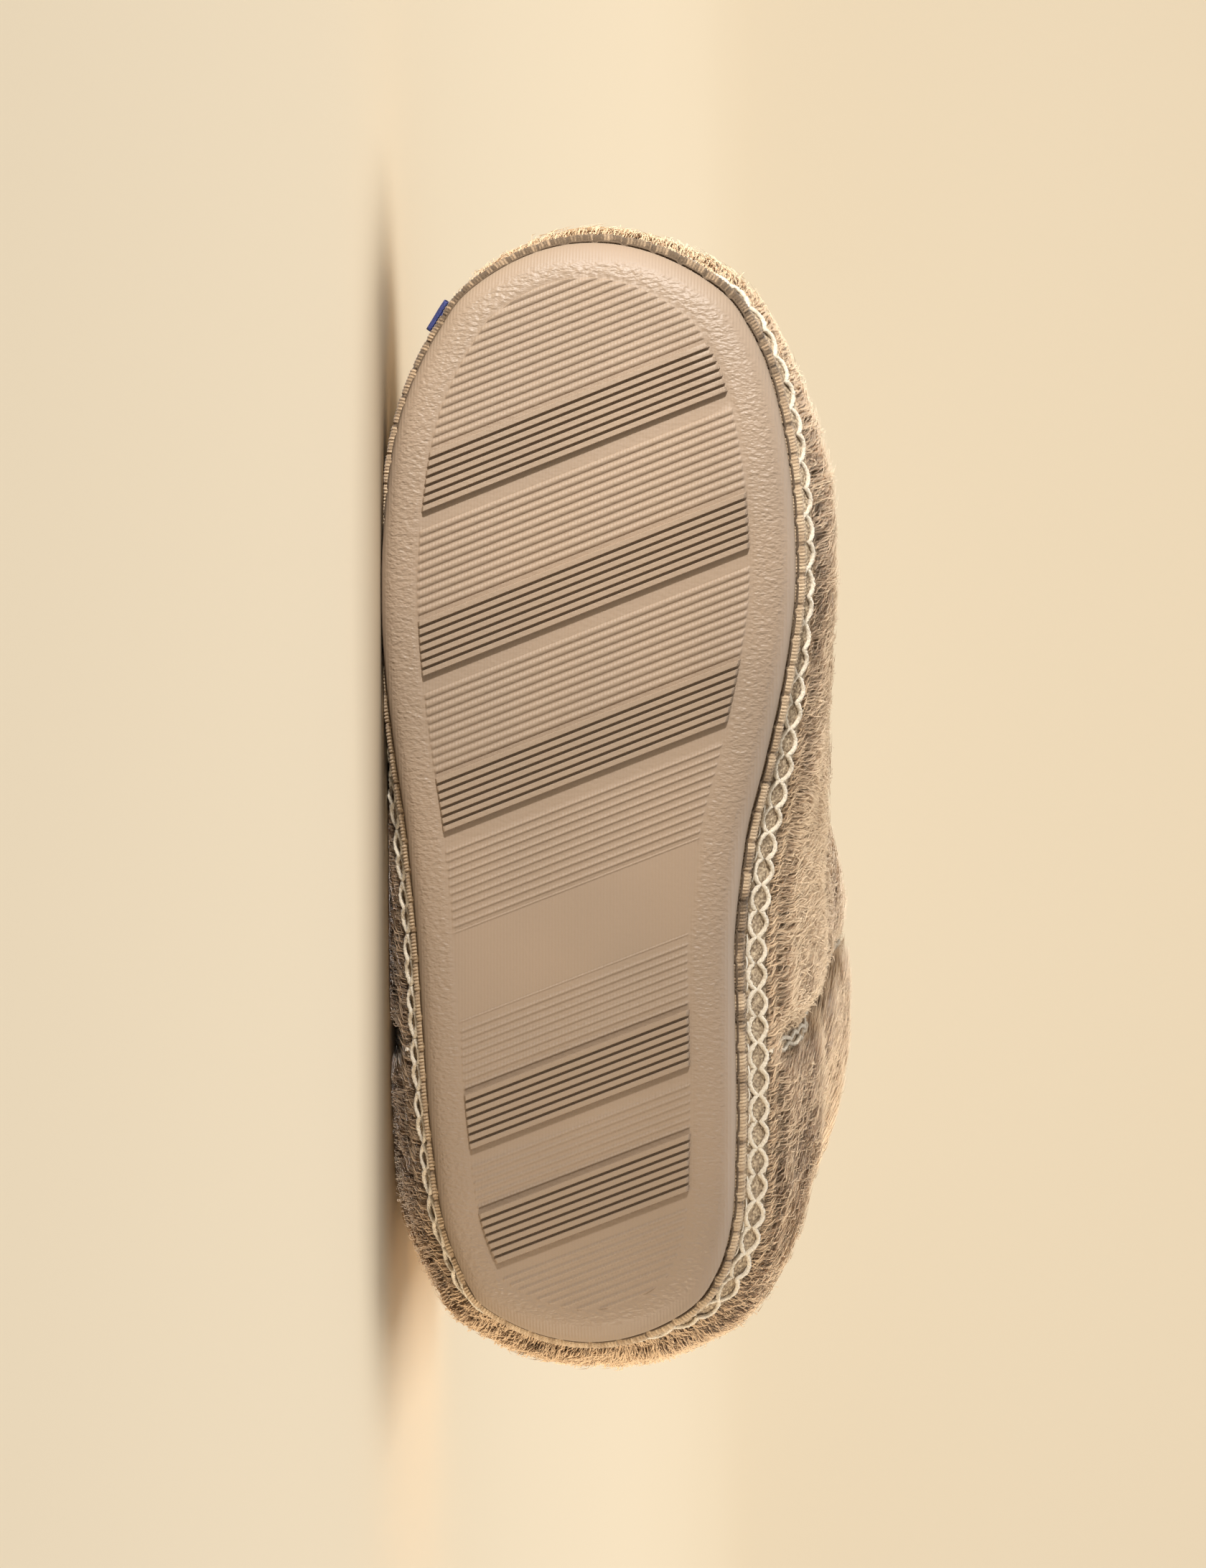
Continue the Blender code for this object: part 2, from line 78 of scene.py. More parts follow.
# %% [markdown]
# ## The boot's own frame
# A shoe is easiest to describe upright: X towards its outer side, Y from heel to toe, Z up
# from the tread, in millimetres. The solids lie on the floor instead. One turn and one
# shift carry every shape from the shoe's frame to the floor, and both can be read from the
# solids: the heel is the sole's largest X, and the tread mount lies on the rib tops.

# %% From the shoe's frame to the floor
SOLE_LENGTH = 272.0
REST_SIDE = 51.3
REST_HEIGHT = 8.0
REST_ROLL = math.radians(2.5)

COS_ROLL = math.cos(REST_ROLL)
SIN_ROLL = math.sin(REST_ROLL)
TURNED = np.array(((0.0, -1.0, 0.0), (SIN_ROLL, 0.0, COS_ROLL), (-COS_ROLL, 0.0, SIN_ROLL)))

tread_mount = next(mount for mount in frame["record"]["mounts"] if mount["name"] == "tread")
lie_z = REST_SIDE * COS_ROLL - REST_HEIGHT * SIN_ROLL
lie_y = tread_mount["pos_m"][1] / MM + math.tan(REST_ROLL) * (tread_mount["pos_m"][2] / MM - lie_z)
LIES_AT = np.array((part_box("outsole")[1].x / MM, lie_y, lie_z))


def on_floor(points):
    """Shoe millimetres to scene metres: turn the point, add the place of the shoe's origin, scale."""
    return (points @ TURNED.T + LIES_AT) * MM


print("the heel's middle lies at", on_floor(np.zeros(3)).round(4))

# %% [markdown]
# ## Camera
# The view is nearly square on the sole from a little above the floor, with the toe at the
# top of the picture. The camera is therefore rolled a quarter turn. A long lens far away
# keeps the sole's outline true, as a product photographer would do.

# %% The camera, aimed in the shoe's frame
VIEW_TARGET = np.array((-4.41, 138.98, 0.0))
VIEW_DISTANCE = 1400.0
VIEW_YAW = math.radians(6.0)
VIEW_PITCH = math.radians(3.0)
PIXELS_PER_MM = 5.67
PHOTO_HEIGHT = 2184.0
SENSOR = 36.0

back = np.array((-math.sin(VIEW_YAW) * math.cos(VIEW_PITCH), math.sin(VIEW_PITCH),
                 -math.cos(VIEW_YAW) * math.cos(VIEW_PITCH)))
right = np.cross((0.0, 1.0, 0.0), back)
right /= np.linalg.norm(right)
up = np.cross(back, right)

camera = bpy.data.objects.new("camera", bpy.data.cameras.new("camera"))
bpy.context.collection.objects.link(camera)
camera.data.sensor_width = SENSOR
camera.data.lens = SENSOR * PIXELS_PER_MM * VIEW_DISTANCE / PHOTO_HEIGHT
axes = TURNED @ np.stack((right, up, back), -1)
camera.matrix_world = Matrix.LocRotScale(
    on_floor(VIEW_TARGET + VIEW_DISTANCE * back), Matrix(axes).to_quaternion(), None)
bpy.context.scene.camera = camera
print("camera stands", round(camera.location.z / MM), "mm above the floor")
print("its lens is", round(camera.data.lens), "mm long")

# %% [markdown]
# ## Grids of points
# Most pieces are a grid: one parameter runs along, the other across. Python would be slow
# at visiting each point, so numpy works out the whole grid, and `foreach_set` hands the
# numbers to the mesh in one go.

# %% Grid faces and meshes


def grid_faces(rows, columns, rows_close=False, columns_close=False):
    """Quads of a grid stored row by row: a point, the next in its row, and those two in the next row."""
    row = np.arange(rows if rows_close else rows - 1)[:, None]
    column = np.arange(columns if columns_close else columns - 1)[None, :]
    ahead = (row + 1) % rows * columns
    beside = (column + 1) % columns
    here = row * columns
    return np.stack((here + column, here + beside, ahead + beside, ahead + column), -1).reshape(-1, 4)


def faces_out(points, quads):
    """The quads of a closed piece, turned round if the volume they enclose comes out negative."""
    a, b, c, d = (points[quads[:, corner]] for corner in range(4))
    volume = np.einsum("ij,ij->", a, np.cross(b, c)) + np.einsum("ij,ij->", a, np.cross(c, d))
    return quads if volume > 0 else quads[:, ::-1]


def put_mesh(name, points, quads, triangles=None, crease=None):
    """A piece whose points are given in shoe millimetres, riding on the boot."""
    mesh = bpy.data.meshes.new(name)
    triangles = np.zeros((0, 3), int) if triangles is None else triangles
    corners = np.concatenate((quads.ravel(), triangles.ravel())).astype(np.int32)
    sizes = np.concatenate((np.full(len(quads), 4), np.full(len(triangles), 3)))
    starts = np.concatenate(((0,), np.cumsum(sizes)[:-1])).astype(np.int32)
    mesh.vertices.add(len(points))
    mesh.vertices.foreach_set("co", on_floor(points).astype(np.float32).ravel())
    mesh.loops.add(len(corners))
    mesh.loops.foreach_set("vertex_index", corners)
    mesh.polygons.add(len(sizes))
    mesh.polygons.foreach_set("loop_start", starts)
    mesh.update(calc_edges=True)
    mesh.shade_smooth()
    if crease is not None:
        mesh.set_sharp_from_angle(angle=math.radians(crease))
    piece = bpy.data.objects.new(name, mesh)
    bpy.context.collection.objects.link(piece)
    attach(piece, "root")
    print(name, "has", len(quads) * 2 + len(triangles), "triangles")
    return piece


def put_attribute(piece, name, values):
    """One number for each point of a piece, for its finish to read."""
    attribute = piece.data.attributes.new(name, "FLOAT", "POINT")
    attribute.data.foreach_set("value", np.ascontiguousarray(values, dtype=np.float32).ravel())


def round_angles(count):
    """Equal angles all the way round."""
    return np.linspace(0, 2 * np.pi, count, endpoint=False)


print("a grid of 3 by 4 points has", len(grid_faces(3, 4)), "quads")

# %% [markdown]
# ## Soft randomness
# Cloth, yarn and fur are never even. Value noise gives each corner of a cubic lattice a
# random number and blends the eight corners round a point. A fixed seed keeps the boot the
# same on every run.

# %% Lattice noise
CHANCE = np.random.default_rng(7)
CHANCE_SIZE = 65536
chance_table = CHANCE.uniform(-1.0, 1.0, (CHANCE_SIZE, 6))
LATTICE_PRIMES = np.array((73856093, 19349663, 83492791))


def chance_of(cells):
    """Six random numbers for each cubic cell, looked up by a mix of its three whole numbers."""
    mixed = cells * LATTICE_PRIMES
    return chance_table[(mixed[..., 0] ^ mixed[..., 1] ^ mixed[..., 2]) % CHANCE_SIZE]


def noise(points, size, channel=0):
    """Smooth noise from -1 to 1: the cell corners' numbers, weighted by smooth steps in x, y and z."""
    places = points / size
    cells = np.floor(places).astype(np.int64)
    share = places - cells
    share = share * share * (3 - 2 * share)
    total = np.zeros(points.shape[:-1])
    for corner in np.ndindex(2, 2, 2):
        weight = np.prod(np.where(corner, share, 1 - share), axis=-1)
        total += weight * chance_of(cells + np.array(corner))[..., channel]
    return total


print("noise at the origin:", noise(np.zeros((1, 3)), 10.0).round(3))

# %% [markdown]
# ## Finishes
# Each finish starts from one Principled shader with its constant values set on its own
# sockets. Helpers add the few nodes that most finishes share: noise, a colour ramp and a
# bump. Many cloths need no more than these three, so one helper makes such a finish whole.

# %% Helpers for finishes


def start_finish(name, colour, roughness, specular=0.3):
    """A material with one Principled shader, and its node tree."""
    finish = bpy.data.materials.new(name)
    finish.use_nodes = True
    tree = finish.node_tree
    shader = tree.nodes["Principled BSDF"]
    shader.inputs["Base Color"].default_value = (*colour, 1.0)
    shader.inputs["Roughness"].default_value = roughness
    shader.inputs["Specular IOR Level"].default_value = specular
    return finish, tree, shader


def add_node(tree, kind, **values):
    """A node with its sockets set by name, where a space in the name is written as an underscore."""
    node = tree.nodes.new(kind)
    for name, value in values.items():
        node.inputs[name.replace("_", " ")].default_value = value
    return node


def add_ramp(tree, driver, stops):
    """A colour ramp read by a socket: each stop is a place from 0 to 1 and a colour."""
    ramp = tree.nodes.new("ShaderNodeValToRGB")
    elements = ramp.color_ramp.elements
    while len(elements) < len(stops):
        elements.new(0.5)
    for element, (place, colour) in zip(elements, stops):
        element.position = place
        element.color = (*colour, 1.0)
    tree.links.new(driver, ramp.inputs["Fac"])
    return ramp.outputs["Color"]


def add_math(tree, operation, first, second):
    """One sum on two sockets or numbers."""
    node = tree.nodes.new("ShaderNodeMath")
    node.operation = operation
    for socket, value in zip(node.inputs, (first, second)):
        if isinstance(value, bpy.types.NodeSocket):
            tree.links.new(value, socket)
        else:
            socket.default_value = value
    return node.outputs["Value"]


def add_noise(tree, size, detail=2.0):
    """Noise on Object coordinates whose lumps are about size millimetres across."""
    coordinates = tree.nodes.new("ShaderNodeTexCoord")
    lumps = add_node(tree, "ShaderNodeTexNoise", Scale=1.0 / (size * MM), Detail=detail)
    tree.links.new(coordinates.outputs["Object"], lumps.inputs["Vector"])
    return lumps.outputs["Fac"]


def add_attribute(tree, name):
    """The number that a piece stores at its points."""
    node = tree.nodes.new("ShaderNodeAttribute")
    node.attribute_name = name
    return node.outputs["Fac"]


def add_bump(tree, shader, height, depth, strength=1.0):
    """A bump whose full height stands out by depth millimetres."""
    bump = add_node(tree, "ShaderNodeBump", Strength=strength, Distance=depth * MM)
    tree.links.new(height, bump.inputs["Height"])
    tree.links.new(bump.outputs["Normal"], shader.inputs["Normal"])


def mottled_finish(name, colour, roughness, specular, size, detail=2.0, stops=None, depth=None, sheen=0.0):
    """A finish led by one noise of a size in millimetres: where there are stops, its colour is a ramp over
    the noise, and where there is a depth, it has a bump from the same noise."""
    finish, tree, shader = start_finish(name, colour, roughness, specular)
    shader.inputs["Sheen Weight"].default_value = sheen
    lumps = add_noise(tree, size, detail)
    if stops is not None:
        tree.links.new(add_ramp(tree, lumps, stops), shader.inputs["Base Color"])
    if depth is not None:
        add_bump(tree, shader, lumps, depth)
    return finish


print("helpers for finishes are ready")

# %% [markdown]
# ## Floor and light
# A photographer's sweep is one sheet that lies flat and then curves up behind, so no edge
# shows. One large lamp above gives soft light. Two small ones stand far off, beyond the toe
# and beyond the heel, and rake over the sole to bring out its ribs. Their beams are narrow
# and leave the sweep out by light linking, because they would draw streaks on it.

# %% The sweep
SWEEP_NEAR = -4.0
SWEEP_FLAT_END = 2.4
SWEEP_RADIUS = 1.2
SWEEP_TOP = 4.0
SWEEP_HALF_WIDTH = 5.0
FLOOR_DROP = 0.0002
BEND_STEPS = 25

bend = np.linspace(0.0, np.pi / 2, BEND_STEPS)
sweep_y = np.concatenate(((SWEEP_NEAR,), SWEEP_FLAT_END + SWEEP_RADIUS * np.sin(bend),
                          (SWEEP_FLAT_END + SWEEP_RADIUS,)))
sweep_z = np.concatenate(((0.0,), SWEEP_RADIUS * (1 - np.cos(bend)), (SWEEP_TOP,))) - FLOOR_DROP
sweep_x = np.array((SWEEP_HALF_WIDTH, -SWEEP_HALF_WIDTH))
sweep = np.stack(np.broadcast_arrays(sweep_x[None, :], sweep_y[:, None], sweep_z[:, None]), -1)
sweep_mesh = bpy.data.meshes.new("sweep")
sweep_mesh.from_pydata(sweep.reshape(-1, 3).tolist(), [], grid_faces(len(sweep_y), 2).tolist())
sweep_mesh.shade_smooth()
sweep_piece = bpy.data.objects.new("sweep", sweep_mesh)
bpy.context.collection.objects.link(sweep_piece)
sweep_piece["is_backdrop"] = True

sweep_mesh.materials.append(mottled_finish(
    "pale_paper", (0.86, 0.72, 0.52), roughness=0.9, specular=0.1, size=900.0, detail=1.0,
    stops=((0.3, (0.85, 0.725, 0.535)), (0.7, (0.87, 0.745, 0.555)))))
print("the sweep has", len(sweep_mesh.polygons), "faces")

# %% Lamps
LAMP_SIDE = (0.0, 1.0, 0.3)


def add_lamp(name, place, aim, size, power, colour, spread=180.0):
    """A square soft lamp at a place, facing an aim, both in scene metres. The spread is in degrees."""
    data = bpy.data.lights.new(name, "AREA")
    data.shape = "SQUARE"
    data.size = size
    data.spread = math.radians(spread)
    data.energy = power
    data.color = colour
    lamp = bpy.data.objects.new(name, data)
    bpy.context.collection.objects.link(lamp)
    away = np.array(place) - np.array(aim)
    side = np.cross(LAMP_SIDE, away)
    side /= np.linalg.norm(side)
    away /= np.linalg.norm(away)
    turn = np.stack((side, np.cross(away, side), away), -1)
    lamp.matrix_world = Matrix.LocRotScale(place, Matrix(turn).to_quaternion(), None)
    return lamp


PALE_LIGHT = (1.0, 0.99, 0.97)
WARM_LIGHT = (1.0, 0.87, 0.69)
ROOM_LIGHT = (1.0, 0.98, 0.95, 1.0)
ROOM_STRENGTH = 0.525
TOE_LAMP = (-1.75, -1.40, 0.14)
TOE_END = (-0.16, -0.08, 0.05)
TOE_POWER = 0.50
HEEL_LAMP = (1.90, -0.95, 0.14)
HEEL_END = (0.38, -0.06, 0.04)
HEEL_POWER = 0.46
END_LAMP_SIZE = 0.16
END_LAMP_SPREAD = 12.0
TOP_LAMP = (0.0, 1.0, 3.6)
BELOW_TOP_LAMP = (0.0, 1.0, 0.0)
TOP_POWER = 81.0
TOP_LAMP_SIZE = 2.4

toe_lamp = add_lamp("toe_lamp", TOE_LAMP, TOE_END, END_LAMP_SIZE, TOE_POWER, PALE_LIGHT, END_LAMP_SPREAD)
add_lamp("top_lamp", TOP_LAMP, BELOW_TOP_LAMP, TOP_LAMP_SIZE, TOP_POWER, PALE_LIGHT)
heel_lamp = add_lamp("heel_lamp", HEEL_LAMP, HEEL_END, END_LAMP_SIZE, HEEL_POWER, WARM_LIGHT, END_LAMP_SPREAD)

unlit = bpy.data.collections.new("left_out_of_end_lamps")
unlit.objects.link(sweep_piece)
unlit.collection_objects[0].light_linking.link_state = "EXCLUDE"
toe_lamp.light_linking.receiver_collection = unlit
heel_lamp.light_linking.receiver_collection = unlit

world = bpy.data.worlds.new("room")
world.use_nodes = True
world.node_tree.nodes["Background"].inputs["Color"].default_value = ROOM_LIGHT
world.node_tree.nodes["Background"].inputs["Strength"].default_value = ROOM_STRENGTH
bpy.context.scene.world = world
bpy.context.scene.view_settings.view_transform = "Standard"
print("three lamps and a pale room")

# %% [markdown]
# ## The sole's outline
# Every ring of the boot follows the outline of its last. A short table gives the half
# widths of the sole at places along it. Dividing each by the half width of a plain ellipse
# there leaves a gentle number that can be smoothed safely, right round both ends.

# %% Curves through short tables


def table(names, rows):
    """A short table whose columns are read by name."""
    return dict(zip(names.split(), np.array(rows, dtype=float).T))


def through(rows, key, column, at):
    """A smooth curve through a column: cubic pieces with harmonic-mean slopes, level past both ends."""
    knots, values = rows[key], rows[column]
    steps = np.diff(knots)
    slopes = np.diff(values) / steps
    product = slopes[:-1] * slopes[1:]
    total = slopes[:-1] + slopes[1:]
    tangents = np.zeros_like(values)
    tangents[1:-1] = np.where(product > 0, 2 * product / np.where(product > 0, total, 1), 0)
    at = np.clip(at, knots[0], knots[-1])
    cell = np.clip(np.searchsorted(knots, at, side="right") - 1, 0, len(steps) - 1)
    share = (at - knots[cell]) / steps[cell]
    rest_share = 1 - share
    ends = values[cell] * rest_share**2 * (1 + 2 * share)
    ends = ends + values[cell + 1] * share**2 * (1 + 2 * rest_share)
    lean = tangents[cell] * rest_share**2 * share - tangents[cell + 1] * share**2 * rest_share
    return ends + lean * steps[cell]


def soft_step(low, high, at):
    """0 below low, 1 above high, and between them three squares of the share less two cubes."""
    share = np.clip((at - low) / (high - low), 0, 1)
    return share * share * (3 - 2 * share)


def unit(vectors):
    """Each vector divided by its length."""
    return vectors / np.linalg.norm(vectors, axis=-1, keepdims=True)


def run_along(path):
    """The length of a path up to each of its points: the lengths of its steps, added up."""
    steps = np.linalg.norm(np.diff(path, axis=0), axis=-1)
    return np.concatenate(((0.0,), np.cumsum(steps)))


print("half of a soft step is", soft_step(0.0, 1.0, 0.5))

# %% The outline itself
SOLE_OUTLINE = table("from_heel outer inner", (
    (7.0, 23.8, 22.9),
    (17.6, 31.7, 31.9),
    (28.0, 35.6, 35.1),
    (49.0, 38.8, 36.5),
    (81.0, 41.3, 36.3),
    (102.0, 42.7, 36.2),
    (123.5, 44.8, 38.6),
    (144.5, 47.8, 43.6),
    (166.0, 50.4, 48.3),
    (187.0, 51.5, 51.0),
    (208.0, 50.1, 50.4),
    (229.0, 46.6, 47.3),
    (250.5, 37.2, 39.5),
    (261.0, 29.0, 31.0),
))
outline_share = SOLE_OUTLINE["from_heel"] / SOLE_LENGTH
ellipse_half = 2 * np.sqrt(outline_share * (1 - outline_share))
FULLNESS = dict(
    from_heel=SOLE_OUTLINE["from_heel"],
    outer=SOLE_OUTLINE["outer"] / ellipse_half,
    inner=SOLE_OUTLINE["inner"] / ellipse_half,
)
TURN_STEP = 0.01
FULL_TURN = np.linspace(0, 2 * np.pi, 4001)


def along_sole(turn):
    """Millimetres along the sole at an angle, 0 at the heel and pi at the toe: half the sole's length times
    one less the cosine."""
    return SOLE_LENGTH * (1 - np.cos(turn)) / 2


def outline(turn):
    """The sole's edge at an angle: y is the way from the heel, and x is the side's fullness at y times the
    sine."""
    along = along_sole(turn)
    outer = through(FULLNESS, "from_heel", "outer", along)
    inner = through(FULLNESS, "from_heel", "inner", along)
    return np.stack((np.where(np.sin(turn) >= 0, outer, inner) * np.sin(turn), along), -1)


def outline_out(turn):
    """The unit direction out of the edge: its direction along, turned a quarter."""
    along = outline(turn + TURN_STEP) - outline(turn - TURN_STEP)
    return unit(np.stack((along[..., 1], -along[..., 0]), -1))


def offset_outline(turn, offset):
    """The edge moved out by an offset."""
    return outline(turn) + np.asarray(offset)[..., None] * outline_out(turn)


def even_turns(offset, count):
    """Angles at equal steps along the offset edge: its length is summed and read backwards."""
    run = run_along(offset_outline(FULL_TURN, np.full(len(FULL_TURN), offset)))
    return np.interp(np.arange(count) * run[-1] / count, run, FULL_TURN), run[-1]


print("the sole's edge is", round(even_turns(0.0, 8)[1]), "mm round")

# %% [markdown]
# ## Toe spring and the floor
# The sole of a soft boot curls up a little in front of the ball, and the side that the boot
# lies on is pressed flat by its weight. Every piece is shaped for a flat sole first. Then
# two short formulas bend and flatten it, so that all the layers go along together.

# %% Toe spring, resting side and closed grids
SPRING_RISE = 6.0
SPRING_FROM = 198.0


def toe_spring(points):
    """Lifts points in front of the ball: the rise times the square of the share of the way to the toe."""
    share = np.clip((points[..., 1] - SPRING_FROM) / (SOLE_LENGTH - SPRING_FROM), 0, None)
    return points + np.stack((0 * share, 0 * share, SPRING_RISE * share**2), -1)


def rest(points, clearance=0.0):
    """Keeps points on the shoe's side of the floor: x is at most the slanting plane less a clearance."""
    plane = REST_SIDE + (points[..., 2] - REST_HEIGHT) * math.tan(REST_ROLL) - clearance
    return np.stack((np.minimum(points[..., 0], plane), points[..., 1], points[..., 2]), -1)


def put_grids(name, grids, rows_close=True, clearance=0.0, ends=(), crease=None):
    """One piece from grids whose columns close: each is kept off the floor and sprung at the toe, and its
    quads point out. Quads that close its ends are added as they are."""
    points, quads, start = [], [], 0
    for grid in grids:
        flat = toe_spring(rest(grid, clearance)).reshape(-1, 3)
        faces = grid_faces(*grid.shape[:2], rows_close=rows_close, columns_close=True)
        points.append(flat)
        quads.append(start + faces_out(flat, faces))
        start += len(flat)
    return put_mesh(name, np.concatenate(points), np.concatenate((*quads, *ends)), crease=crease)


print("the toe rises", SPRING_RISE, "mm")

# %% [markdown]
# ## Rubber outsole
# The sole is moulded in one go: a rounded border with a pebbled grain, five bands of seven
# thick ribs, low fine ribs between them, and a plain panel at the waist. All ribs run at
# one slant. So the grid of the sole follows that slant: each row is one line across the
# tread, carried up over the border on both sides. Rows are set close where a rib turns and
# wide where the rubber is plain, so every rib is true shape and no picture is needed.

# %% Ribs and the tread's edge
RIB_SLOPE = math.tan(math.radians(21.5))
TREAD_PLANE = 1.3
TREAD_INSET_ENDS = 8.7
TREAD_INSET_SIDES = 10.1
TREAD_INSET_SKEW = 0.5
BAND_PITCH = 2.1
BAND_RIBS = 7
BAND_RELIEF = 1.3
FINE_RELIEF = 0.45
THIN_RELIEF = 0.32
FRONT_RIBS = 156.0
LINE_RELIEF = 0.16

RIB_BANDS = table("middle", ((228.6,), (188.1,), (147.7,), (66.5,), (35.7,)))
FINE_RIBS = table("first pitch count", (
    (3.4, 2.05, 11),
    (44.4, 2.06, 6),
    (75.2, 2.06, 8),
    (116.3, 2.11, 10),
    (156.6, 2.13, 10),
    (197.2, 2.13, 10),
    (237.5, 2.11, 19),
))
PANEL_LINES = (92.1, 114.7)

band_steps = np.arange(BAND_RIBS) - (BAND_RIBS - 1) / 2
band_places = (RIB_BANDS["middle"][:, None] + band_steps * BAND_PITCH).ravel()
fine_places = np.concatenate([
    first + pitch * np.arange(int(count)) for first, pitch, count in zip(*FINE_RIBS.values())])
print(len(band_places), "thick ribs and", len(fine_places), "fine ribs")

# %% Rib sections
BAND_SECTION = table("aside share", ((0.0, 1.0), (0.56, 1.0), (0.66, 0.93), (0.74, 0.55), (0.80, 0.0)))
FINE_SECTION = table("aside share", ((0.0, 1.0), (0.26, 0.93), (0.50, 0.70), (0.72, 0.34), (0.90, 0.0)))
THIN_SECTION = table("aside share", ((0.0, 1.0), (0.18, 0.85), (0.34, 0.35), (0.52, 0.0)))
LINE_SECTION = table("aside share", ((0.0, 1.0), (0.18, 0.85), (0.34, 0.0)))
RIB_KINDS = (
    (band_places, BAND_SECTION, BAND_RELIEF),
    (fine_places[fine_places > FRONT_RIBS], FINE_SECTION, FINE_RELIEF),
    (fine_places[fine_places < FRONT_RIBS], THIN_SECTION, THIN_RELIEF),
    (np.array(PANEL_LINES), LINE_SECTION, LINE_RELIEF),
)


def relief(places):
    """Height of the ribs at places along the sole: the section's share at the distance to the nearest rib
    of each kind, times that kind's relief, and the largest of them."""
    height = np.zeros(len(places))
    for ribs, section, rise in RIB_KINDS:
        nearest = np.abs(places[:, None] - ribs[None, :]).min(axis=1)
        height = np.maximum(height, rise * np.interp(nearest, section["aside"], section["share"]))
    return height


def rib_rows():
    """Places of the grid's rows: each rib's centre, with its section's distances on both sides."""
    rows = []
    for ribs, section, _ in RIB_KINDS:
        aside = np.concatenate((-section["aside"][:0:-1], section["aside"]))
        rows.append((ribs[:, None] + aside[None, :]).ravel())
    return np.unique(np.concatenate(rows).round(2))


print("rib rows:", len(rib_rows()))

# %% Rows across the tread
ROW_STEP = 2.0
END_ROWS = 16
END_REACH = 2.4
ROWS_APART = 0.004


def tread_inset(turn):
    """Width of the border: that of the ends, plus the sides' share by the square of how it faces aside."""
    across = outline_out(turn)[..., 0]
    sides = TREAD_INSET_ENDS + (TREAD_INSET_SIDES - TREAD_INSET_ENDS) * across**2
    return sides - TREAD_INSET_SKEW * across


def edge_place(turn):
    """The place of the tread's edge, measured along the ribs' slant: y plus slope times x."""
    edge = offset_outline(turn, -tread_inset(turn))
    return edge[:, 1] + edge[:, 0] * RIB_SLOPE


def tread_rows():
    """Slanted rows from end to end of the tread, and the angles where each meets its edge on both sides.
    The place of the edge rises up one side and falls down the other, so each side can be read backwards.
    Near the ends the rows close up by squares, because the edge turns along them."""
    start = FULL_TURN[edge_place(FULL_TURN).argmin()]
    turn = start + FULL_TURN
    place = edge_place(turn)
    top = place.argmax()
    low, high = place[0], place[top]
    ends = END_REACH * np.linspace(0, 1, END_ROWS) ** 2
    rows = np.concatenate((np.arange(low, high, ROW_STEP), rib_rows()))
    rows = rows[(rows > low + END_REACH) & (rows < high - END_REACH)]
    rows = np.unique(np.concatenate((low + ends, rows, high - ends)))
    rows = rows[np.concatenate(((True,), np.diff(rows) > ROWS_APART))]
    outer = np.interp(rows, place[:top + 1], turn[:top + 1])
    inner = np.interp(rows, place[top:][::-1], turn[top:][::-1])
    return rows, outer, inner


rows, outer_turns, inner_turns = tread_rows()
print("the tread has", len(rows), "rows from", rows[0].round(1), "to", rows[-1].round(1), "mm")

# %% The sole's surface
SOLE_PROFILE = table("step share height", (
    (0.0, 1.00, 1.3),
    (1.0, 0.62, 1.6),
    (2.0, 0.30, 2.4),
    (3.0, 0.08, 4.0),
    (4.0, 0.00, 6.2),
    (5.0, 0.00, 9.2),
    (6.0, 0.05, 9.7),
))
PROFILE_POINTS = 13
RIB_END = 0.55
TREAD_END_STEPS = np.array((0.0, 0.2, 0.4, 0.7))
TREAD_COLUMNS = 12
SHORT_ROW = 6.0
LEAST_ROW = 1e-6
RUBBER_CREASE = 38.0


def border(turn):
    """The border beside each row, from the top edge down to the tread: the edge moved in by shares of the
    border's width, at the heights of the profile."""
    step = np.linspace(SOLE_PROFILE["step"][-1], 0.0, PROFILE_POINTS)[:-1]
    share = through(SOLE_PROFILE, "step", "share", step)
    height = through(SOLE_PROFILE, "step", "height", step)
    flat = offset_outline(turn[:, None] + 0 * step, -share * tread_inset(turn)[:, None])
    return np.concatenate((flat, (height + 0 * turn[:, None])[..., None]), -1), share + 0 * turn[:, None]


def tread():
    """The tread: straight rows from edge to edge, lifted by ribs that fade out at both ends of a row."""
    outer = offset_outline(outer_turns, -tread_inset(outer_turns))
    inner = offset_outline(inner_turns, -tread_inset(inner_turns))
    length = np.linalg.norm(outer - inner, axis=-1)[:, None]
    near = TREAD_END_STEPS * np.minimum(1, length / SHORT_ROW)
    first = near / np.maximum(length, LEAST_ROW)
    middle = np.linspace(0, 1, TREAD_COLUMNS + 2)[1:-1]
    span = first[:, -1:]
    share = np.concatenate((first, span + (1 - 2 * span) * middle, 1 - first[:, ::-1]), axis=-1)
    from_end = np.minimum(share, 1 - share) * length
    flat = outer[:, None, :] * (1 - share[..., None]) + inner[:, None, :] * share[..., None]
    lift = relief(rows)[:, None] * soft_step(0.0, RIB_END, from_end)
    return np.concatenate((flat, (TREAD_PLANE - lift)[..., None]), -1)


outer_border, border_share = border(outer_turns)
inner_border, _ = border(inner_turns)
tread_grid = tread()
sole_grid = np.concatenate((outer_border, tread_grid, inner_border[:, ::-1]), axis=1)
outsole = put_grids("rubber_sole", [sole_grid], rows_close=False, crease=RUBBER_CREASE)
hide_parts("outsole")

# %% Where the grain shows
GRAIN_FROM = 0.08
GRAIN_FULL = 0.30
GRAIN_FROM_ENDS = 0.30
GRAIN_FULL_ENDS = 0.45
PANEL_GRAIN = 0.10
TREAD_GRAIN = 0.22


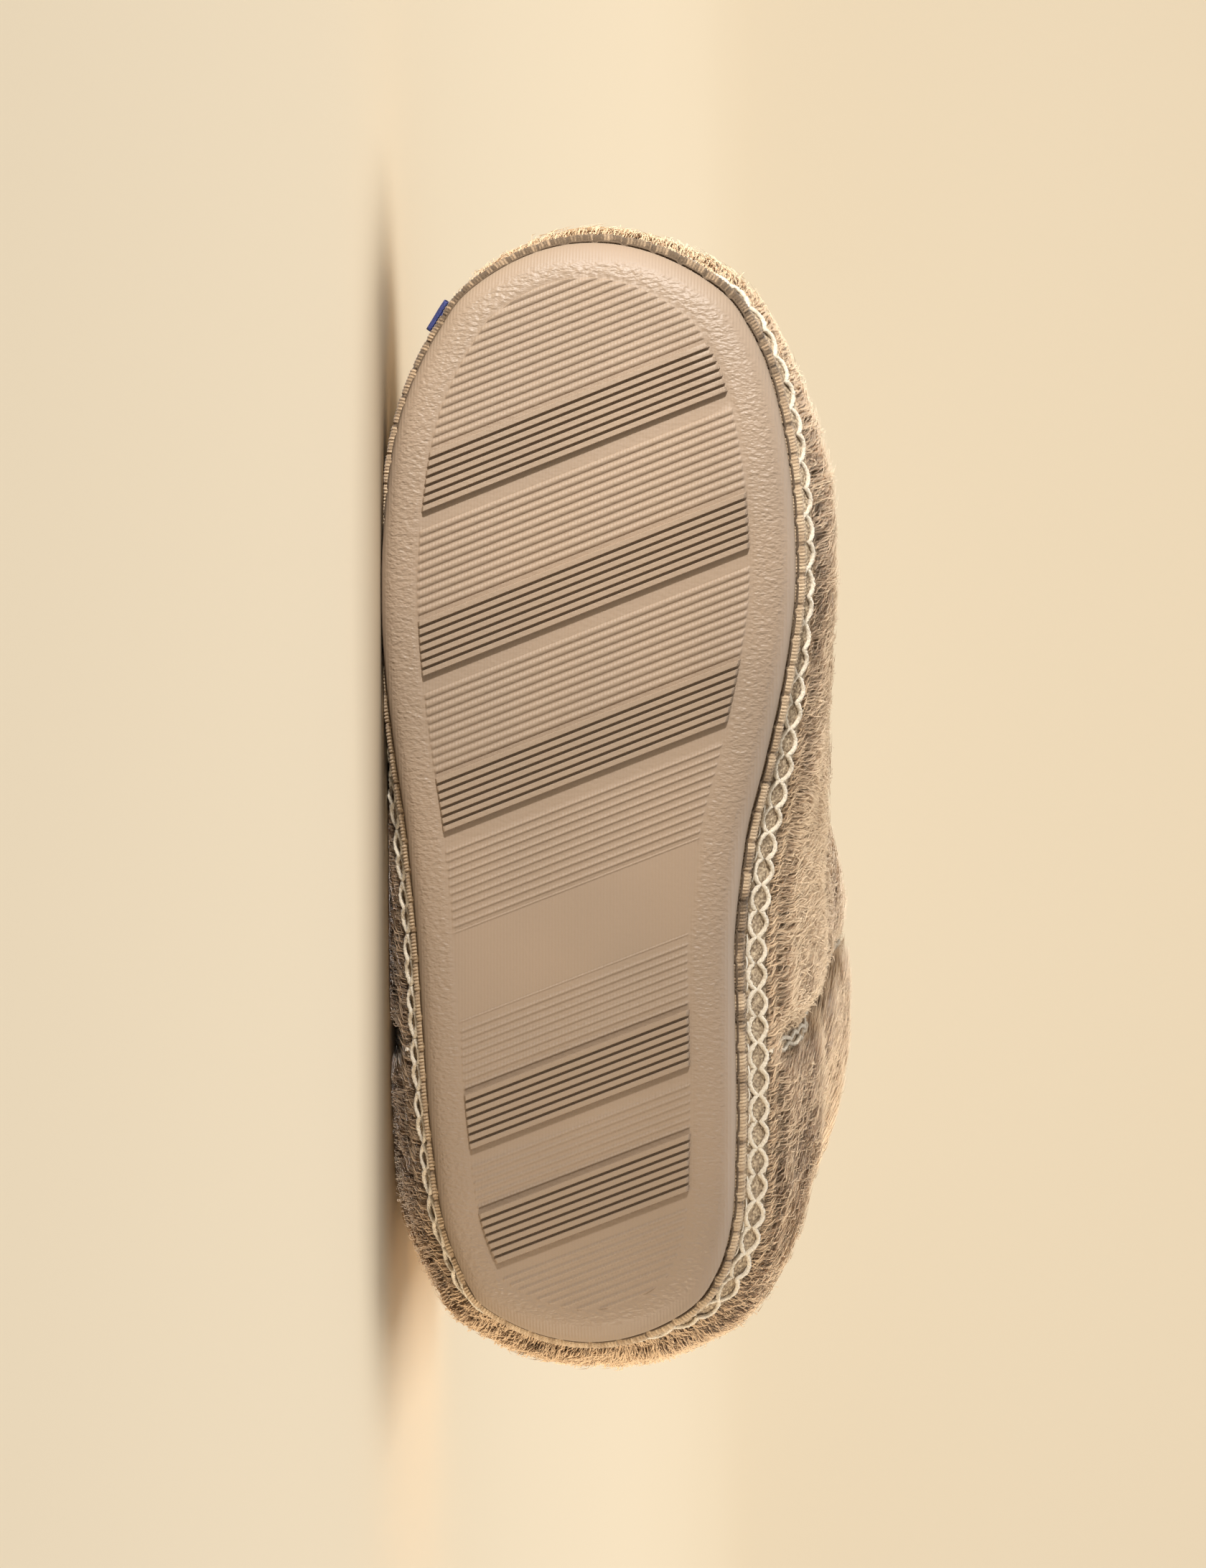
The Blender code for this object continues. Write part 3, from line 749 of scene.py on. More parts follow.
def border_grain(turn, share):
    """Pebbles on the border: none at the rounded edge, and further in where the edge faces heel or toe."""
    ends = 1 - np.abs(outline_out(turn)[:, :1])
    return soft_step(GRAIN_FROM + GRAIN_FROM_ENDS * ends, GRAIN_FULL + GRAIN_FULL_ENDS * ends, share)


in_panel = (rows > PANEL_LINES[0]) & (rows < PANEL_LINES[1])
tread_grain = np.where(in_panel, PANEL_GRAIN, TREAD_GRAIN)[:, None]
grain = np.concatenate((
    border_grain(outer_turns, border_share),
    tread_grain + np.zeros(tread_grid.shape[:2]),
    border_grain(inner_turns, border_share)[:, ::-1],
), axis=1)
put_attribute(outsole, "grain", grain)
print("grain covers", round(float((grain > 0.5).mean()) * 100), "% of the sole's points")

# %% Rubber finish
PEBBLE = 0.85
PEBBLE_STRETCH = 0.55
PEBBLE_DEPTH = 0.5
LINE_PITCH = 0.8
LINE_SHARE = 0.10
WAVE_PERIOD = math.pi / 10
SHADE_SIZE = 45.0
SMOOTH_ROUGHNESS = 0.60
PEBBLE_GLOSS = 0.12


def rubber_finish():
    """Satin beige rubber: a pebble bump where the grain attribute says, fine moulding lines elsewhere. A
    wave texture of scale 1 repeats once in its period, so the scale is the period over the pitch."""
    finish, tree, shader = start_finish("beige_rubber", (0.28, 0.205, 0.143), SMOOTH_ROUGHNESS, specular=0.40)
    grain_share = add_attribute(tree, "grain")
    coordinates = tree.nodes.new("ShaderNodeTexCoord")
    pebble = add_node(tree, "ShaderNodeTexNoise", Scale=1.0 / (PEBBLE * MM), Detail=1.5, Roughness=0.55)
    stretch = add_node(tree, "ShaderNodeMapping", Scale=(1.0, 1.0, PEBBLE_STRETCH))
    tree.links.new(coordinates.outputs["Object"], stretch.inputs["Vector"])
    tree.links.new(stretch.outputs["Vector"], pebble.inputs["Vector"])
    lines = add_node(tree, "ShaderNodeTexWave", Scale=WAVE_PERIOD / (LINE_PITCH * MM), Distortion=0.4)
    lines.bands_direction = "Z"
    tree.links.new(coordinates.outputs["Object"], lines.inputs["Vector"])
    pebbled = add_math(tree, "MULTIPLY", pebble.outputs["Fac"], grain_share)
    smooth = add_math(tree, "SUBTRACT", 1.0, grain_share)
    lined = add_math(tree, "MULTIPLY", add_math(tree, "MULTIPLY", lines.outputs["Fac"], smooth), LINE_SHARE)
    add_bump(tree, shader, add_math(tree, "ADD", pebbled, lined), PEBBLE_DEPTH)
    gloss = add_math(tree, "MULTIPLY", grain_share, PEBBLE_GLOSS)
    tree.links.new(add_math(tree, "SUBTRACT", SMOOTH_ROUGHNESS, gloss), shader.inputs["Roughness"])
    shade = add_ramp(tree, add_noise(tree, SHADE_SIZE), (
        (0.35, (0.268, 0.196, 0.137)),
        (0.65, (0.294, 0.213, 0.148)),
    ))
    tree.links.new(shade, shader.inputs["Base Color"])
    return finish


outsole.data.materials.append(rubber_finish())
print("rubber is on the sole")

# %% [markdown]
# ## Rand tape
# The edge of the sole is bound with a tape that is wrapped in tan yarn and sewn down every
# few millimetres, so it swells between the stitches. A tube with a rounded square section
# follows the outline. The yarn is a ripple along it that leans a little, and each stitch
# draws the section in.

# %% The binding's surface
TAPE_MIDDLE = 12.1
TAPE_HALF_HEIGHT = 2.1
TAPE_BACK = -1.8
TAPE_FRONT = 2.4
TAPE_SQUARENESS = 0.72
TAPE_AROUND = 10
WRAP_PITCH = 0.85
WRAP_STEPS = 4
WRAP_RIPPLE = 0.20
WRAP_LEVEL = 0.6
WRAP_ODDITY = 0.4
WRAP_LEAN = 0.6
STITCH_PITCH = 7.5
STITCH_REACH = 0.5
STITCH_PINCH = 0.15

wraps = round(even_turns(TAPE_FRONT, 1)[1] / WRAP_PITCH)
tape_turns, tape_run = even_turns(TAPE_FRONT, wraps * WRAP_STEPS)
stitch_count = round(tape_run / STITCH_PITCH)


def from_stitch(share):
    """Millimetres to the nearest stitch, at shares of the way round the sole."""
    return np.abs((share * stitch_count + 0.5) % 1 - 0.5) * tape_run / stitch_count


def binding():
    """A rounded square section round the outline: cosine and sine, each raised to a power that squares
    them up, times half sizes that ripple with each wrap of yarn and shrink by a bell curve at each stitch.
    The wraps' own chances, the ripple and the bells are given too, for the colour."""
    share = np.arange(len(tape_turns))[:, None] / len(tape_turns)
    angle = round_angles(TAPE_AROUND)[None, :]
    wrap = share * wraps + WRAP_LEAN * np.sin(angle)
    odd = chance_of(np.stack((np.floor(wrap).astype(np.int64) % wraps,) * 3, -1))[..., 0]
    ripple = WRAP_RIPPLE * (1 + WRAP_ODDITY * odd) * (np.abs(np.cos(np.pi * (wrap - 0.5))) - WRAP_LEVEL)
    pinch = np.exp(-(from_stitch(share) / STITCH_REACH) ** 2)
    size = 1 + ripple - STITCH_PINCH * pinch
    across = np.sign(np.cos(angle)) * np.abs(np.cos(angle)) ** TAPE_SQUARENESS
    upward = np.sign(np.sin(angle)) * np.abs(np.sin(angle)) ** TAPE_SQUARENESS
    out = (TAPE_FRONT + TAPE_BACK) / 2 + (TAPE_FRONT - TAPE_BACK) / 2 * across * size
    flat = offset_outline(tape_turns[:, None] + 0 * angle, out)
    points = np.concatenate((flat, (TAPE_MIDDLE + TAPE_HALF_HEIGHT * upward * size)[..., None]), -1)
    return points, odd, ripple, pinch


tape_grid, wrap_odd, wrap_ripple, stitch_pinch = binding()
tape = put_grids("yarn_binding", [tape_grid])
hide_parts("rand_tape")

# %% Yarn colours
YARN_TINT = 0.74
TINT_BY_WRAP = 0.16
RIPPLE_PAINTED_SHADE = 1.1
STITCH_SHADE = 0.28
BLOTCH_SIZE = 5.0
BLOTCH_FROM = -0.15
BLOTCH_FULL = 0.30
BLOTCH_SHADE = 0.10
WAIST_SHADE = 0.36
WAIST_MIDDLE = 100.0
WAIST_REACH = 45.0
TOE_PAINTED_SHADE = 0.55
TOE_PAINTED_SHADE_FROM = 210.0
TOE_PAINTED_SHADE_FULL = 262.0

tape_along = tape_grid[..., 1]
waist = np.exp(-((tape_along - WAIST_MIDDLE) / WAIST_REACH) ** 2) * (tape_grid[..., 0] < 0)
blotch = soft_step(BLOTCH_FROM, BLOTCH_FULL, noise(tape_grid, BLOTCH_SIZE, 1))
# painted shade and highlight: the tint follows each wrap's ripple, lighter on its crest and darker in the dip
# between wraps
tape_tint = YARN_TINT + TINT_BY_WRAP * wrap_odd + RIPPLE_PAINTED_SHADE * wrap_ripple - STITCH_SHADE * stitch_pinch
tape_tint = tape_tint - (BLOTCH_SHADE + WAIST_SHADE * waist) * blotch
# painted shade: the yarn is darker towards the toe's tip, where the toe lamp lights the binding strongly
tape_tint = tape_tint - TOE_PAINTED_SHADE * soft_step(TOE_PAINTED_SHADE_FROM, TOE_PAINTED_SHADE_FULL, tape_along)
put_attribute(tape, "tint", tape_tint)
print("the yarn's tint is", tape_tint.mean().round(2), "on average")

# %% Yarn finish
YARN_DARK = (0.10, 0.068, 0.042)
YARN_MIDDLE = (0.35, 0.245, 0.152)
YARN_LIGHT = (0.56, 0.42, 0.275)
FIBRE_SIZE = 0.5
FIBRE_DEPTH = 0.25
FIBRE_TINT = 0.5


def yarn_finish():
    """Soft yarn: a ramp over the tint attribute, made uneven by the fibres, with a fibre bump."""
    finish, tree, shader = start_finish("tan_yarn", YARN_MIDDLE, roughness=0.9, specular=0.15)
    shader.inputs["Sheen Weight"].default_value = 0.15
    fibres = add_noise(tree, FIBRE_SIZE, 3.0)
    uneven = add_math(tree, "MULTIPLY", fibres, FIBRE_TINT)
    tint = add_math(tree, "ADD", add_attribute(tree, "tint"), uneven)
    shade = add_ramp(tree, add_math(tree, "SUBTRACT", tint, FIBRE_TINT / 2),
                     ((0.10, YARN_DARK), (0.5, YARN_MIDDLE), (0.9, YARN_LIGHT)))
    tree.links.new(shade, shader.inputs["Base Color"])
    add_bump(tree, shader, fibres, FIBRE_DEPTH)
    return finish


tape.data.materials.append(yarn_finish())
print("the tape has", wraps, "wraps of yarn and", stitch_count, "stitches")

# %% [markdown]
# ## Threads
# A dark thread lies in the groove between rubber and tape. It is painted shadow: its dark colour
# stands in for the shade in the gap there. A pale thread runs in long stitches along the cloth
# above the tape. Each is a round section carried along a path that dips out of sight between
# stitches.

# %% A section along a path


def tube(path, outward, radius, sides, closed):
    """Circles along a path: at each point the two directions square to the path are weighted with the
    cosine and sine of an angle, times the radius."""
    along = unit(np.roll(path, -1, 0) - np.roll(path, 1, 0) if closed else np.gradient(path, axis=0))
    first = unit(outward - np.sum(outward * along, -1, keepdims=True) * along)
    second = np.cross(along, first)
    angle = round_angles(sides)[None, :, None]
    ring = np.cos(angle) * first[:, None, :] + np.sin(angle) * second[:, None, :]
    return path[:, None, :] + np.broadcast_to(radius, (len(path), sides))[..., None] * ring


def flat_out(turn):
    """The level direction out of the sole's edge."""
    out = outline_out(turn)
    return np.concatenate((out, np.zeros((len(turn), 1))), -1)


print("beside the heel, out is", flat_out(np.zeros(1)).round(2))

# %% The groove's dark thread, a painted shadow
GROOVE_HEIGHT = 9.75
GROOVE_OUT = 0.55
GROOVE_DIP = 0.8
GROOVE_RADIUS = 0.28
GROOVE_STEP = 0.8
GROOVE_SIDES = 6

groove_turns, _ = even_turns(0.0, round(tape_run / GROOVE_STEP))
groove_share = np.arange(len(groove_turns)) / len(groove_turns)
groove_pinch = np.exp(-(from_stitch(groove_share) / STITCH_REACH) ** 2)
groove_flat = offset_outline(groove_turns, GROOVE_OUT - GROOVE_DIP * groove_pinch)
groove_path = np.concatenate((groove_flat, np.full((len(groove_turns), 1), GROOVE_HEIGHT)), -1)
groove_grid = tube(groove_path, flat_out(groove_turns), GROOVE_RADIUS, GROOVE_SIDES, True)
# painted shadow: a dark thread whose colour stands in for the shade in the gap between rubber and tape
groove = put_grids("painted_groove_shadow", [groove_grid])
groove.data.materials.append(mottled_finish(
    "painted_groove_shadow_finish", (0.11, 0.075, 0.047), roughness=0.85, specular=0.2, size=0.4, depth=0.2))

# %% [markdown]
# ## The upper's wall
# The cloth of the upper starts on the sole's outline and turns into an oval shaft. A table
# of levels says, for each height, how far it stands out, where its ends are and how much of
# the oval it has become. Creases and swells are soft bells on that wall. The fur, braids and
# lining are all placed from this one wall, so they fit each other.

# %% Tables of the wall
UPPER_LEVELS = table("height grow flare back front widest outer inner oval", (
    (10.0, -2.1, 0.0, 2.1, 269.9, 150.0, 50.0, 50.0, 0.00),
    (14.4, -2.1, 0.0, 2.1, 269.9, 150.0, 50.0, 50.0, 0.00),
    (17.2, -1.4, 0.3, 1.4, 270.6, 150.0, 50.0, 50.0, 0.00),
    (20.0, -0.6, 0.6, 0.6, 271.4, 150.0, 50.0, 50.0, 0.00),
    (28.0, 0.6, 0.6, -1.6, 271.0, 148.0, 50.5, 51.0, 0.08),
    (38.0, 1.0, 0.4, -3.6, 267.5, 138.0, 51.5, 51.5, 0.27),
    (46.0, 1.0, 0.3, -4.4, 260.5, 128.0, 52.0, 51.5, 0.44),
    (53.0, 1.0, 0.2, -4.4, 249.0, 120.0, 52.0, 51.0, 0.58),
    (61.0, 1.0, 0.0, -3.6, 230.0, 112.0, 52.0, 50.5, 0.72),
    (70.0, 1.0, 0.0, -2.4, 206.0, 105.0, 52.0, 50.0, 0.84),
    (80.0, 1.0, 0.0, -1.0, 183.5, 99.0, 52.0, 49.5, 0.93),
    (92.0, 1.0, 0.0, 0.6, 164.0, 93.0, 52.0, 49.0, 1.00),
    (106.0, 1.0, 0.0, 1.6, 151.0, 89.0, 52.0, 49.0, 1.00),
    (125.0, 1.0, 0.0, 1.2, 142.5, 84.0, 52.0, 49.0, 1.00),
    (148.0, 1.0, 0.0, -0.6, 139.5, 80.0, 52.5, 49.5, 1.00),
    (166.0, 1.0, 0.0, -2.0, 140.0, 78.0, 52.5, 50.0, 1.00),
))
FOLDS = table("side from_heel height lift along across lean", (
    (0.0, 18.0, 66.0, -5.5, 52.0, 7.0, 0.08),
    (0.0, 45.0, 44.0, 5.5, 38.0, 19.0, 0.00),
    (0.0, 156.0, 99.0, -4.0, 26.0, 8.0, -0.50),
    (-1.0, 118.0, 62.0, -2.6, 30.0, 6.5, -0.45),
    (-1.0, 120.0, 84.0, -2.4, 26.0, 6.0, -0.50),
    (-1.0, 116.0, 112.0, 3.0, 24.0, 20.0, 0.00),
    (0.0, 20.0, 92.0, 2.0, 50.0, 14.0, 0.00),
))
PILE_ALONG = table("from_heel pile", ((0.0, 5.5), (185.0, 5.5), (232.0, 3.6), (272.0, 5.0)))
SEAM_LINE = table("height from_heel", ((10.0, 70.0), (45.0, 74.0), (110.0, 85.0), (166.0, 88.0)))
print("the wall has", len(UPPER_LEVELS["height"]), "levels and", len(FOLDS["side"]), "folds")

# %% The cloth wall
OVAL_POWER = 2.3
OVERHANG = 5.4
OVERHANG_LOW = 14.4
OVERHANG_HIGH = 20.2
OVERHANG_FULL = 128.0
OVERHANG_NONE = 188.0
FLOOR_TRIM = 1.8
WALL_TURN_STEP = 0.02
WALL_RISE_STEP = 0.8


def cloth(turn, height):
    """The wall at an angle and a height: the offset outline, stretched between the level's ends, mixed with
    an oval whose half width is the level's times (1 - share^power)^(1/power)."""
    row = {name: through(UPPER_LEVELS, "height", name, height) for name in UPPER_LEVELS}
    across = outline_out(turn)[..., 0]
    sides = (1 - soft_step(OVERHANG_FULL, OVERHANG_NONE, along_sole(turn))) * np.abs(across)
    cone = np.clip((height - OVERHANG_LOW) / (OVERHANG_HIGH - OVERHANG_LOW), 0, 1)
    last = offset_outline(turn, row["grow"] - row["flare"] * across + OVERHANG * sides * cone)
    reach = row["front"] - row["back"]
    last_y = row["back"] + (last[..., 1] + row["grow"]) * reach / (SOLE_LENGTH + 2 * row["grow"])
    oval_y = row["back"] + reach * (1 - np.cos(turn)) / 2
    behind = (row["widest"] - oval_y) / (row["widest"] - row["back"])
    before = (oval_y - row["widest"]) / (row["front"] - row["widest"])
    share = np.clip(np.where(oval_y < row["widest"], behind, before), 0, 1)
    half = np.where(np.sin(turn) >= 0, row["outer"], row["inner"])
    oval_x = np.sign(np.sin(turn)) * half * (1 - share**OVAL_POWER) ** (1 / OVAL_POWER)
    mix = row["oval"]
    x = (1 - mix) * last[..., 0] + mix * oval_x
    y = (1 - mix) * last_y + mix * oval_y
    return rest(np.stack((x, y, height + 0 * turn), -1), FLOOR_TRIM)


def cloth_axes(turn, height):
    """Unit directions round the wall, up the wall and out of it, from small differences."""
    around = cloth(turn + WALL_TURN_STEP, height) - cloth(turn - WALL_TURN_STEP, height)
    upward = cloth(turn, height + WALL_RISE_STEP) - cloth(turn, height - WALL_RISE_STEP)
    return unit(around), unit(upward), unit(np.cross(around, upward))


print("low at the heel the wall faces", cloth_axes(np.zeros(1), np.full(1, OVERHANG_HIGH))[2].round(2))

# %% Creases and places on the wall
PILE_START = 20.2
PILE_FULL = 23.5
PILE_AT_COLLAR = 0.8
TOE_PLUMP = 3.4
PLUMP_MIDDLE = 218.0
PLUMP_REACH = 34.0
PLUMP_FULL = 30.0
PLUMP_NONE = 62.0
COLLAR_HEIGHT = 166.0
COLLAR_BAND = 20.0
FOLD_SIDE_FADE = 12.0
FOLDS_FULL = 40.0


def fold_lift(points):
    """Creases and swells: each row's lift times bell curves along the wall and across the crease, summed."""
    lift = np.zeros(points.shape[:-1])
    for side, from_heel, height, depth, along, across, lean in zip(*FOLDS.values()):
        away = points[..., 1] - from_heel
        over = points[..., 2] - height - lean * away
        half = 1.0 if side == 0 else (1 + np.tanh(side * points[..., 0] / FOLD_SIDE_FADE)) / 2
        lift += depth * half * np.exp(-((away / along) ** 2) - (over / across) ** 2)
    return lift * soft_step(PILE_START, FOLDS_FULL, points[..., 2])


def on_upper(turn, height, lift):
    """A point of the wall moved along the direction out of it, by the folds and a lift."""
    wall = cloth(turn, height)
    return wall + (fold_lift(wall) + lift)[..., None] * cloth_axes(turn, height)[2]


def seam_turn(height):
    """The angle of the outer side seam at a height, and millimetres along the wall for each radian."""
    ends = [through(UPPER_LEVELS, "height", name, height) for name in ("back", "front")]
    along = through(SEAM_LINE, "height", "from_heel", height)
    turn = np.arccos(1 - 2 * (along - ends[0]) / (ends[1] - ends[0]))
    return turn, (ends[1] - ends[0]) / 2 * np.sin(turn)


def pile_depth(turn, height):
    """Depth of the pile: the table's along the boot, thinner at the collar, none below the braid, and with
    a plump bell low on the inner side of the toe."""
    along = cloth(turn, height)[..., 1]
    bell = np.exp(-(((along - PLUMP_MIDDLE) / PLUMP_REACH) ** 2)) * np.clip(-np.sin(turn), 0, 1)
    plump = TOE_PLUMP * bell * (1 - soft_step(PLUMP_FULL, PLUMP_NONE, height))
    full = through(PILE_ALONG, "from_heel", "pile", along) + plump
    collar = 1 - (1 - PILE_AT_COLLAR) * soft_step(COLLAR_HEIGHT - COLLAR_BAND, COLLAR_HEIGHT, height)
    return full * collar * soft_step(PILE_START, PILE_FULL, height)


collar = cloth(FULL_TURN, np.full(len(FULL_TURN), COLLAR_HEIGHT))
print("the collar is", round(float(np.ptp(collar[:, 1]))), "mm long")

# %% The pale thread
PALE_HEIGHT = 17.3
PALE_STITCH = 5.6
PALE_LIFT = 1.45
PALE_DIP = 0.40
PALE_RADIUS = 0.22
PALE_STEPS = 10
PALE_SIDES = 5

pale_count = round(tape_run / PALE_STITCH)
pale_turns, _ = even_turns(0.0, pale_count * PALE_STEPS)
pale_wave = np.cos(2 * np.pi * np.arange(len(pale_turns)) / PALE_STEPS)
pale_path = on_upper(pale_turns, np.full(len(pale_turns), PALE_HEIGHT), PALE_LIFT + PALE_DIP * pale_wave)
pale = put_grids("pale_thread", [tube(pale_path, flat_out(pale_turns), PALE_RADIUS, PALE_SIDES, True)])
pale.data.materials.append(mottled_finish(
    "pale_thread", (0.70, 0.64, 0.54), roughness=0.7, specular=0.25, size=0.3, depth=0.1))

# %% [markdown]
# ## Chain braid
# Two cream cords meet and part again and again, so they frame a row of pointed ovals on a
# brown band. Each cord is the hump of a sine wave, and the other is its mirror image. Where
# they meet, one lies a little over the other, by turns, as in a real braid. The same pair of
# waves, on another path, makes the braids of the side seams.

# %% Waves of a chain
CHAIN_PITCH = 6.75
CHAIN_STEPS = 18
CHAIN_SIDES = 7
CORD_RADIUS = 0.58
CORD_PLY = 0.12
CORD_FUZZ = 0.16
PLY_PITCH = 1.5
CHAIN_NECK = 0.22
CHAIN_ROUND = 0.80
CROSS_LIFT = 0.30
BRAID_GAP = 0.3
BRAID_THICK = 1.2
BAND_FACE = BRAID_GAP + BRAID_THICK


def chain_waves(count, strand):
    """Offset across the band, from -1 to 1, and lift over it, at each step of a cord: a neck plus the size
    of a sine, half a turn for each oval, rounded by a power; and a cosine. Both have the strand's sign."""
    phase = np.pi * np.arange(count * CHAIN_STEPS) / CHAIN_STEPS
    swell = CHAIN_NECK + (1 - CHAIN_NECK) * np.abs(np.sin(phase)) ** CHAIN_ROUND
    return strand * swell, strand * np.cos(phase) * CROSS_LIFT


def cord_radius(count):
    """Two-ply cord: the radius swells twice round the section, and the swelling winds along the cord. A
    little chance at each point makes it fuzzy."""
    run = np.arange(count * CHAIN_STEPS)[:, None] * CHAIN_PITCH / CHAIN_STEPS
    angle = round_angles(CHAIN_SIDES)[None, :]
    fuzz = CORD_FUZZ * CHANCE.uniform(-1.0, 1.0, (len(run), CHAIN_SIDES))
    return CORD_RADIUS * (1 + CORD_PLY * np.cos(2 * angle + 2 * np.pi * run / PLY_PITCH) + fuzz)


def chain_cords(count, lay, closed):
    """The two cords of a chain: a lay gives the angles, heights and extra lifts for a cord's offsets, and a
    tube follows them."""
    grids = []
    for strand in (1, -1):
        offset, lift = chain_waves(count, strand)
        turns, heights, extra = lay(offset)
        path = on_upper(turns, heights, BAND_FACE + CROSS_LIFT + lift + extra)
        outward = cloth_axes(turns, heights)[2]
        grids.append(tube(path, outward, cord_radius(count), CHAIN_SIDES, closed))
    return grids


first_oval, _ = chain_waves(1, 1)
print("a cord's offset runs from", first_oval.min().round(2), "to", first_oval.max().round(2))

# %% The sole braid's cords
CHAIN_HEIGHT = 18.8
CHAIN_HALF = 1.40
CHAIN_OUT = 4.0
LEAN_OUTER = -0.8
LEAN_TOE = 0.9
LIFT_TOE = 0.9
TUCK_TOE = 0.9


def chain_lift(turn, height):
    """How the braid leans: in at the top along the outer side, and out, and raised, beside the inner toe. At
    the toe's tip it is tucked in behind the tape."""
    across = outline_out(turn)[..., 0]
    front = soft_step(OVERHANG_FULL, OVERHANG_NONE, along_sole(turn))
    lean = LEAN_OUTER * np.clip(across, 0, 1) + LEAN_TOE * front * np.clip(-across, 0, 1)
    raised = LIFT_TOE * np.clip(-across, 0, 1) - TUCK_TOE * (1 - across ** 2) ** 2
    return lean * (height - CHAIN_HEIGHT) / CHAIN_HALF + front * raised


chain_count = 2 * round(even_turns(CHAIN_OUT, 1)[1] / CHAIN_PITCH / 2)
wall_run = run_along(on_upper(FULL_TURN, np.full(len(FULL_TURN), CHAIN_HEIGHT), np.zeros(len(FULL_TURN))))
wall_share = wall_run / wall_run[-1]
chain_steps = np.arange(chain_count * CHAIN_STEPS)
chain_turns = np.interp(chain_steps / len(chain_steps), wall_share, FULL_TURN)


def lay_on_sole(offset):
    """The sole braid's lay: its offsets run up and down the wall."""
    heights = CHAIN_HEIGHT + CHAIN_HALF * offset
    return chain_turns, heights, chain_lift(chain_turns, heights)


chain = put_grids("chain_braid", chain_cords(chain_count, lay_on_sole, True))
print("the sole braid has", chain_count, "ovals of", (wall_run[-1] / chain_count).round(2), "mm")

# %% The sole braid's band
BRAID_RISE = np.array((15.8, 17.2, 18.8, 20.5))
BAND_COLUMNS = 440
BAND_CREASE = 50.0

band_heights = np.concatenate((BRAID_RISE, BRAID_RISE[::-1]))[None, :]
band_turns, band_heights = np.broadcast_arrays(round_angles(BAND_COLUMNS)[:, None], band_heights)
band_outer = np.repeat((0.0, 1.0), len(BRAID_RISE))[None, :]
band_lifts = BRAID_GAP + (BRAID_THICK + chain_lift(band_turns, band_heights)) * band_outer
band_grid = on_upper(band_turns, band_heights, band_lifts)
braid_band = put_grids("braid_band", [band_grid], crease=BAND_CREASE)
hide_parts("sole_braid")

# %% Cords and bands of the side seams
SEAM_LOW = 21.0
SEAM_HALF = 2.4
SEAM_CHAIN_HALF = 1.5

seam_count = round((COLLAR_HEIGHT - SEAM_LOW) / CHAIN_PITCH)
seam_steps = np.arange(seam_count * CHAIN_STEPS)
seam_heights = SEAM_LOW + (COLLAR_HEIGHT - SEAM_LOW) * seam_steps / len(seam_steps)
seam_angles, seam_scale = seam_turn(seam_heights)


def lay_on_seam(side):
    """The lay of a seam's braid: its offsets run round the wall, on the outer side, 1, or the inner, -1."""
    def lay(offset):
        return side * (seam_angles + SEAM_CHAIN_HALF * offset / seam_scale), seam_heights, 0.0
    return lay


def seam_band(side):
    """The band under a seam's cords: a four-cornered section along the seam."""
    corners = SEAM_HALF * np.array((-1.0, 1.0, 1.0, -1.0))[None, :]
    lifts = np.array((BRAID_GAP, BRAID_GAP, BAND_FACE, BAND_FACE))[None, :]
    turns = side * (seam_angles[:, None] + corners / seam_scale[:, None])
    heights = seam_heights[:, None] + 0 * turns
    return on_upper(turns, heights, lifts + 0 * turns)


first_end = np.array(((3, 2, 1, 0),))
last_end = np.array(((0, 1, 2, 3),)) + 4 * (len(seam_heights) - 1)
seam_pieces = []
for name, side in (("outer", 1.0), ("inner", -1.0)):
    cords = put_grids("seam_cords_" + name, chain_cords(seam_count, lay_on_seam(side), False),
                      rows_close=False)
    band = put_grids("seam_band_" + name, [seam_band(side)], rows_close=False,
                     ends=(first_end, last_end), crease=BAND_CREASE)
    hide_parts("seam_braid_" + name)
    seam_pieces.append((cords, band))

# %% Cream cotton cord and brown woven band with pale flecks
cream_cord = mottled_finish(
    "cream_cord", (0.72, 0.62, 0.47), roughness=0.85, specular=0.2, sheen=0.25,
    size=0.45, detail=3.0, depth=0.3,
    stops=((0.3, (0.52, 0.430, 0.312)), (0.6, (0.69, 0.605, 0.48))))
brown_band = mottled_finish(
    "brown_band", (0.17, 0.115, 0.07), roughness=0.9, specular=0.15, size=0.7, depth=0.5,
    stops=((0.36, (0.20, 0.148, 0.098)), (0.52, (0.36, 0.275, 0.185)), (0.68, (0.56, 0.45, 0.31))))
chain.data.materials.append(cream_cord)
braid_band.data.materials.append(brown_band)
for cords, band in seam_pieces:
    cords.data.materials.append(cream_cord)
    band.data.materials.append(brown_band)
print("braids are dressed")

# %% [markdown]
# ## Hide and lining
# Under the fur is the backing cloth that the pile grows from, and inside it a fleece
# lining. Both are one closed shell: up the outside, over the rounded collar, and down the
# inside to the open bottom edge. The fleece is lumpy, so noise moves its points a little.

# %% The shell
WALL = 3.0
COLLAR_CREST = 2.6
SHELL_COLUMNS = 260
FLEECE_LUMP = 4.2
FLEECE_DEPTH = 0.55
FLEECE_FULL = 24.0
WALL_BOTTOM = 10.0
BARE_HEIGHTS = (WALL_BOTTOM, 14.4, 16.0, 18.0, PILE_START)
FURRED_HEIGHTS = np.linspace(22.0, COLLAR_HEIGHT, 44)
LINING_TOP = 164.0
LINING_ROWS = 56
CREST_STEPS = 7
SHELL_CLEARANCE = 0.1

hide_heights = np.concatenate((BARE_HEIGHTS, FURRED_HEIGHTS))
lining_heights = np.linspace(LINING_TOP, WALL_BOTTOM, LINING_ROWS)
crest_angles = np.linspace(0.0, np.pi, CREST_STEPS)[1:-1]
shell_turns = round_angles(SHELL_COLUMNS)


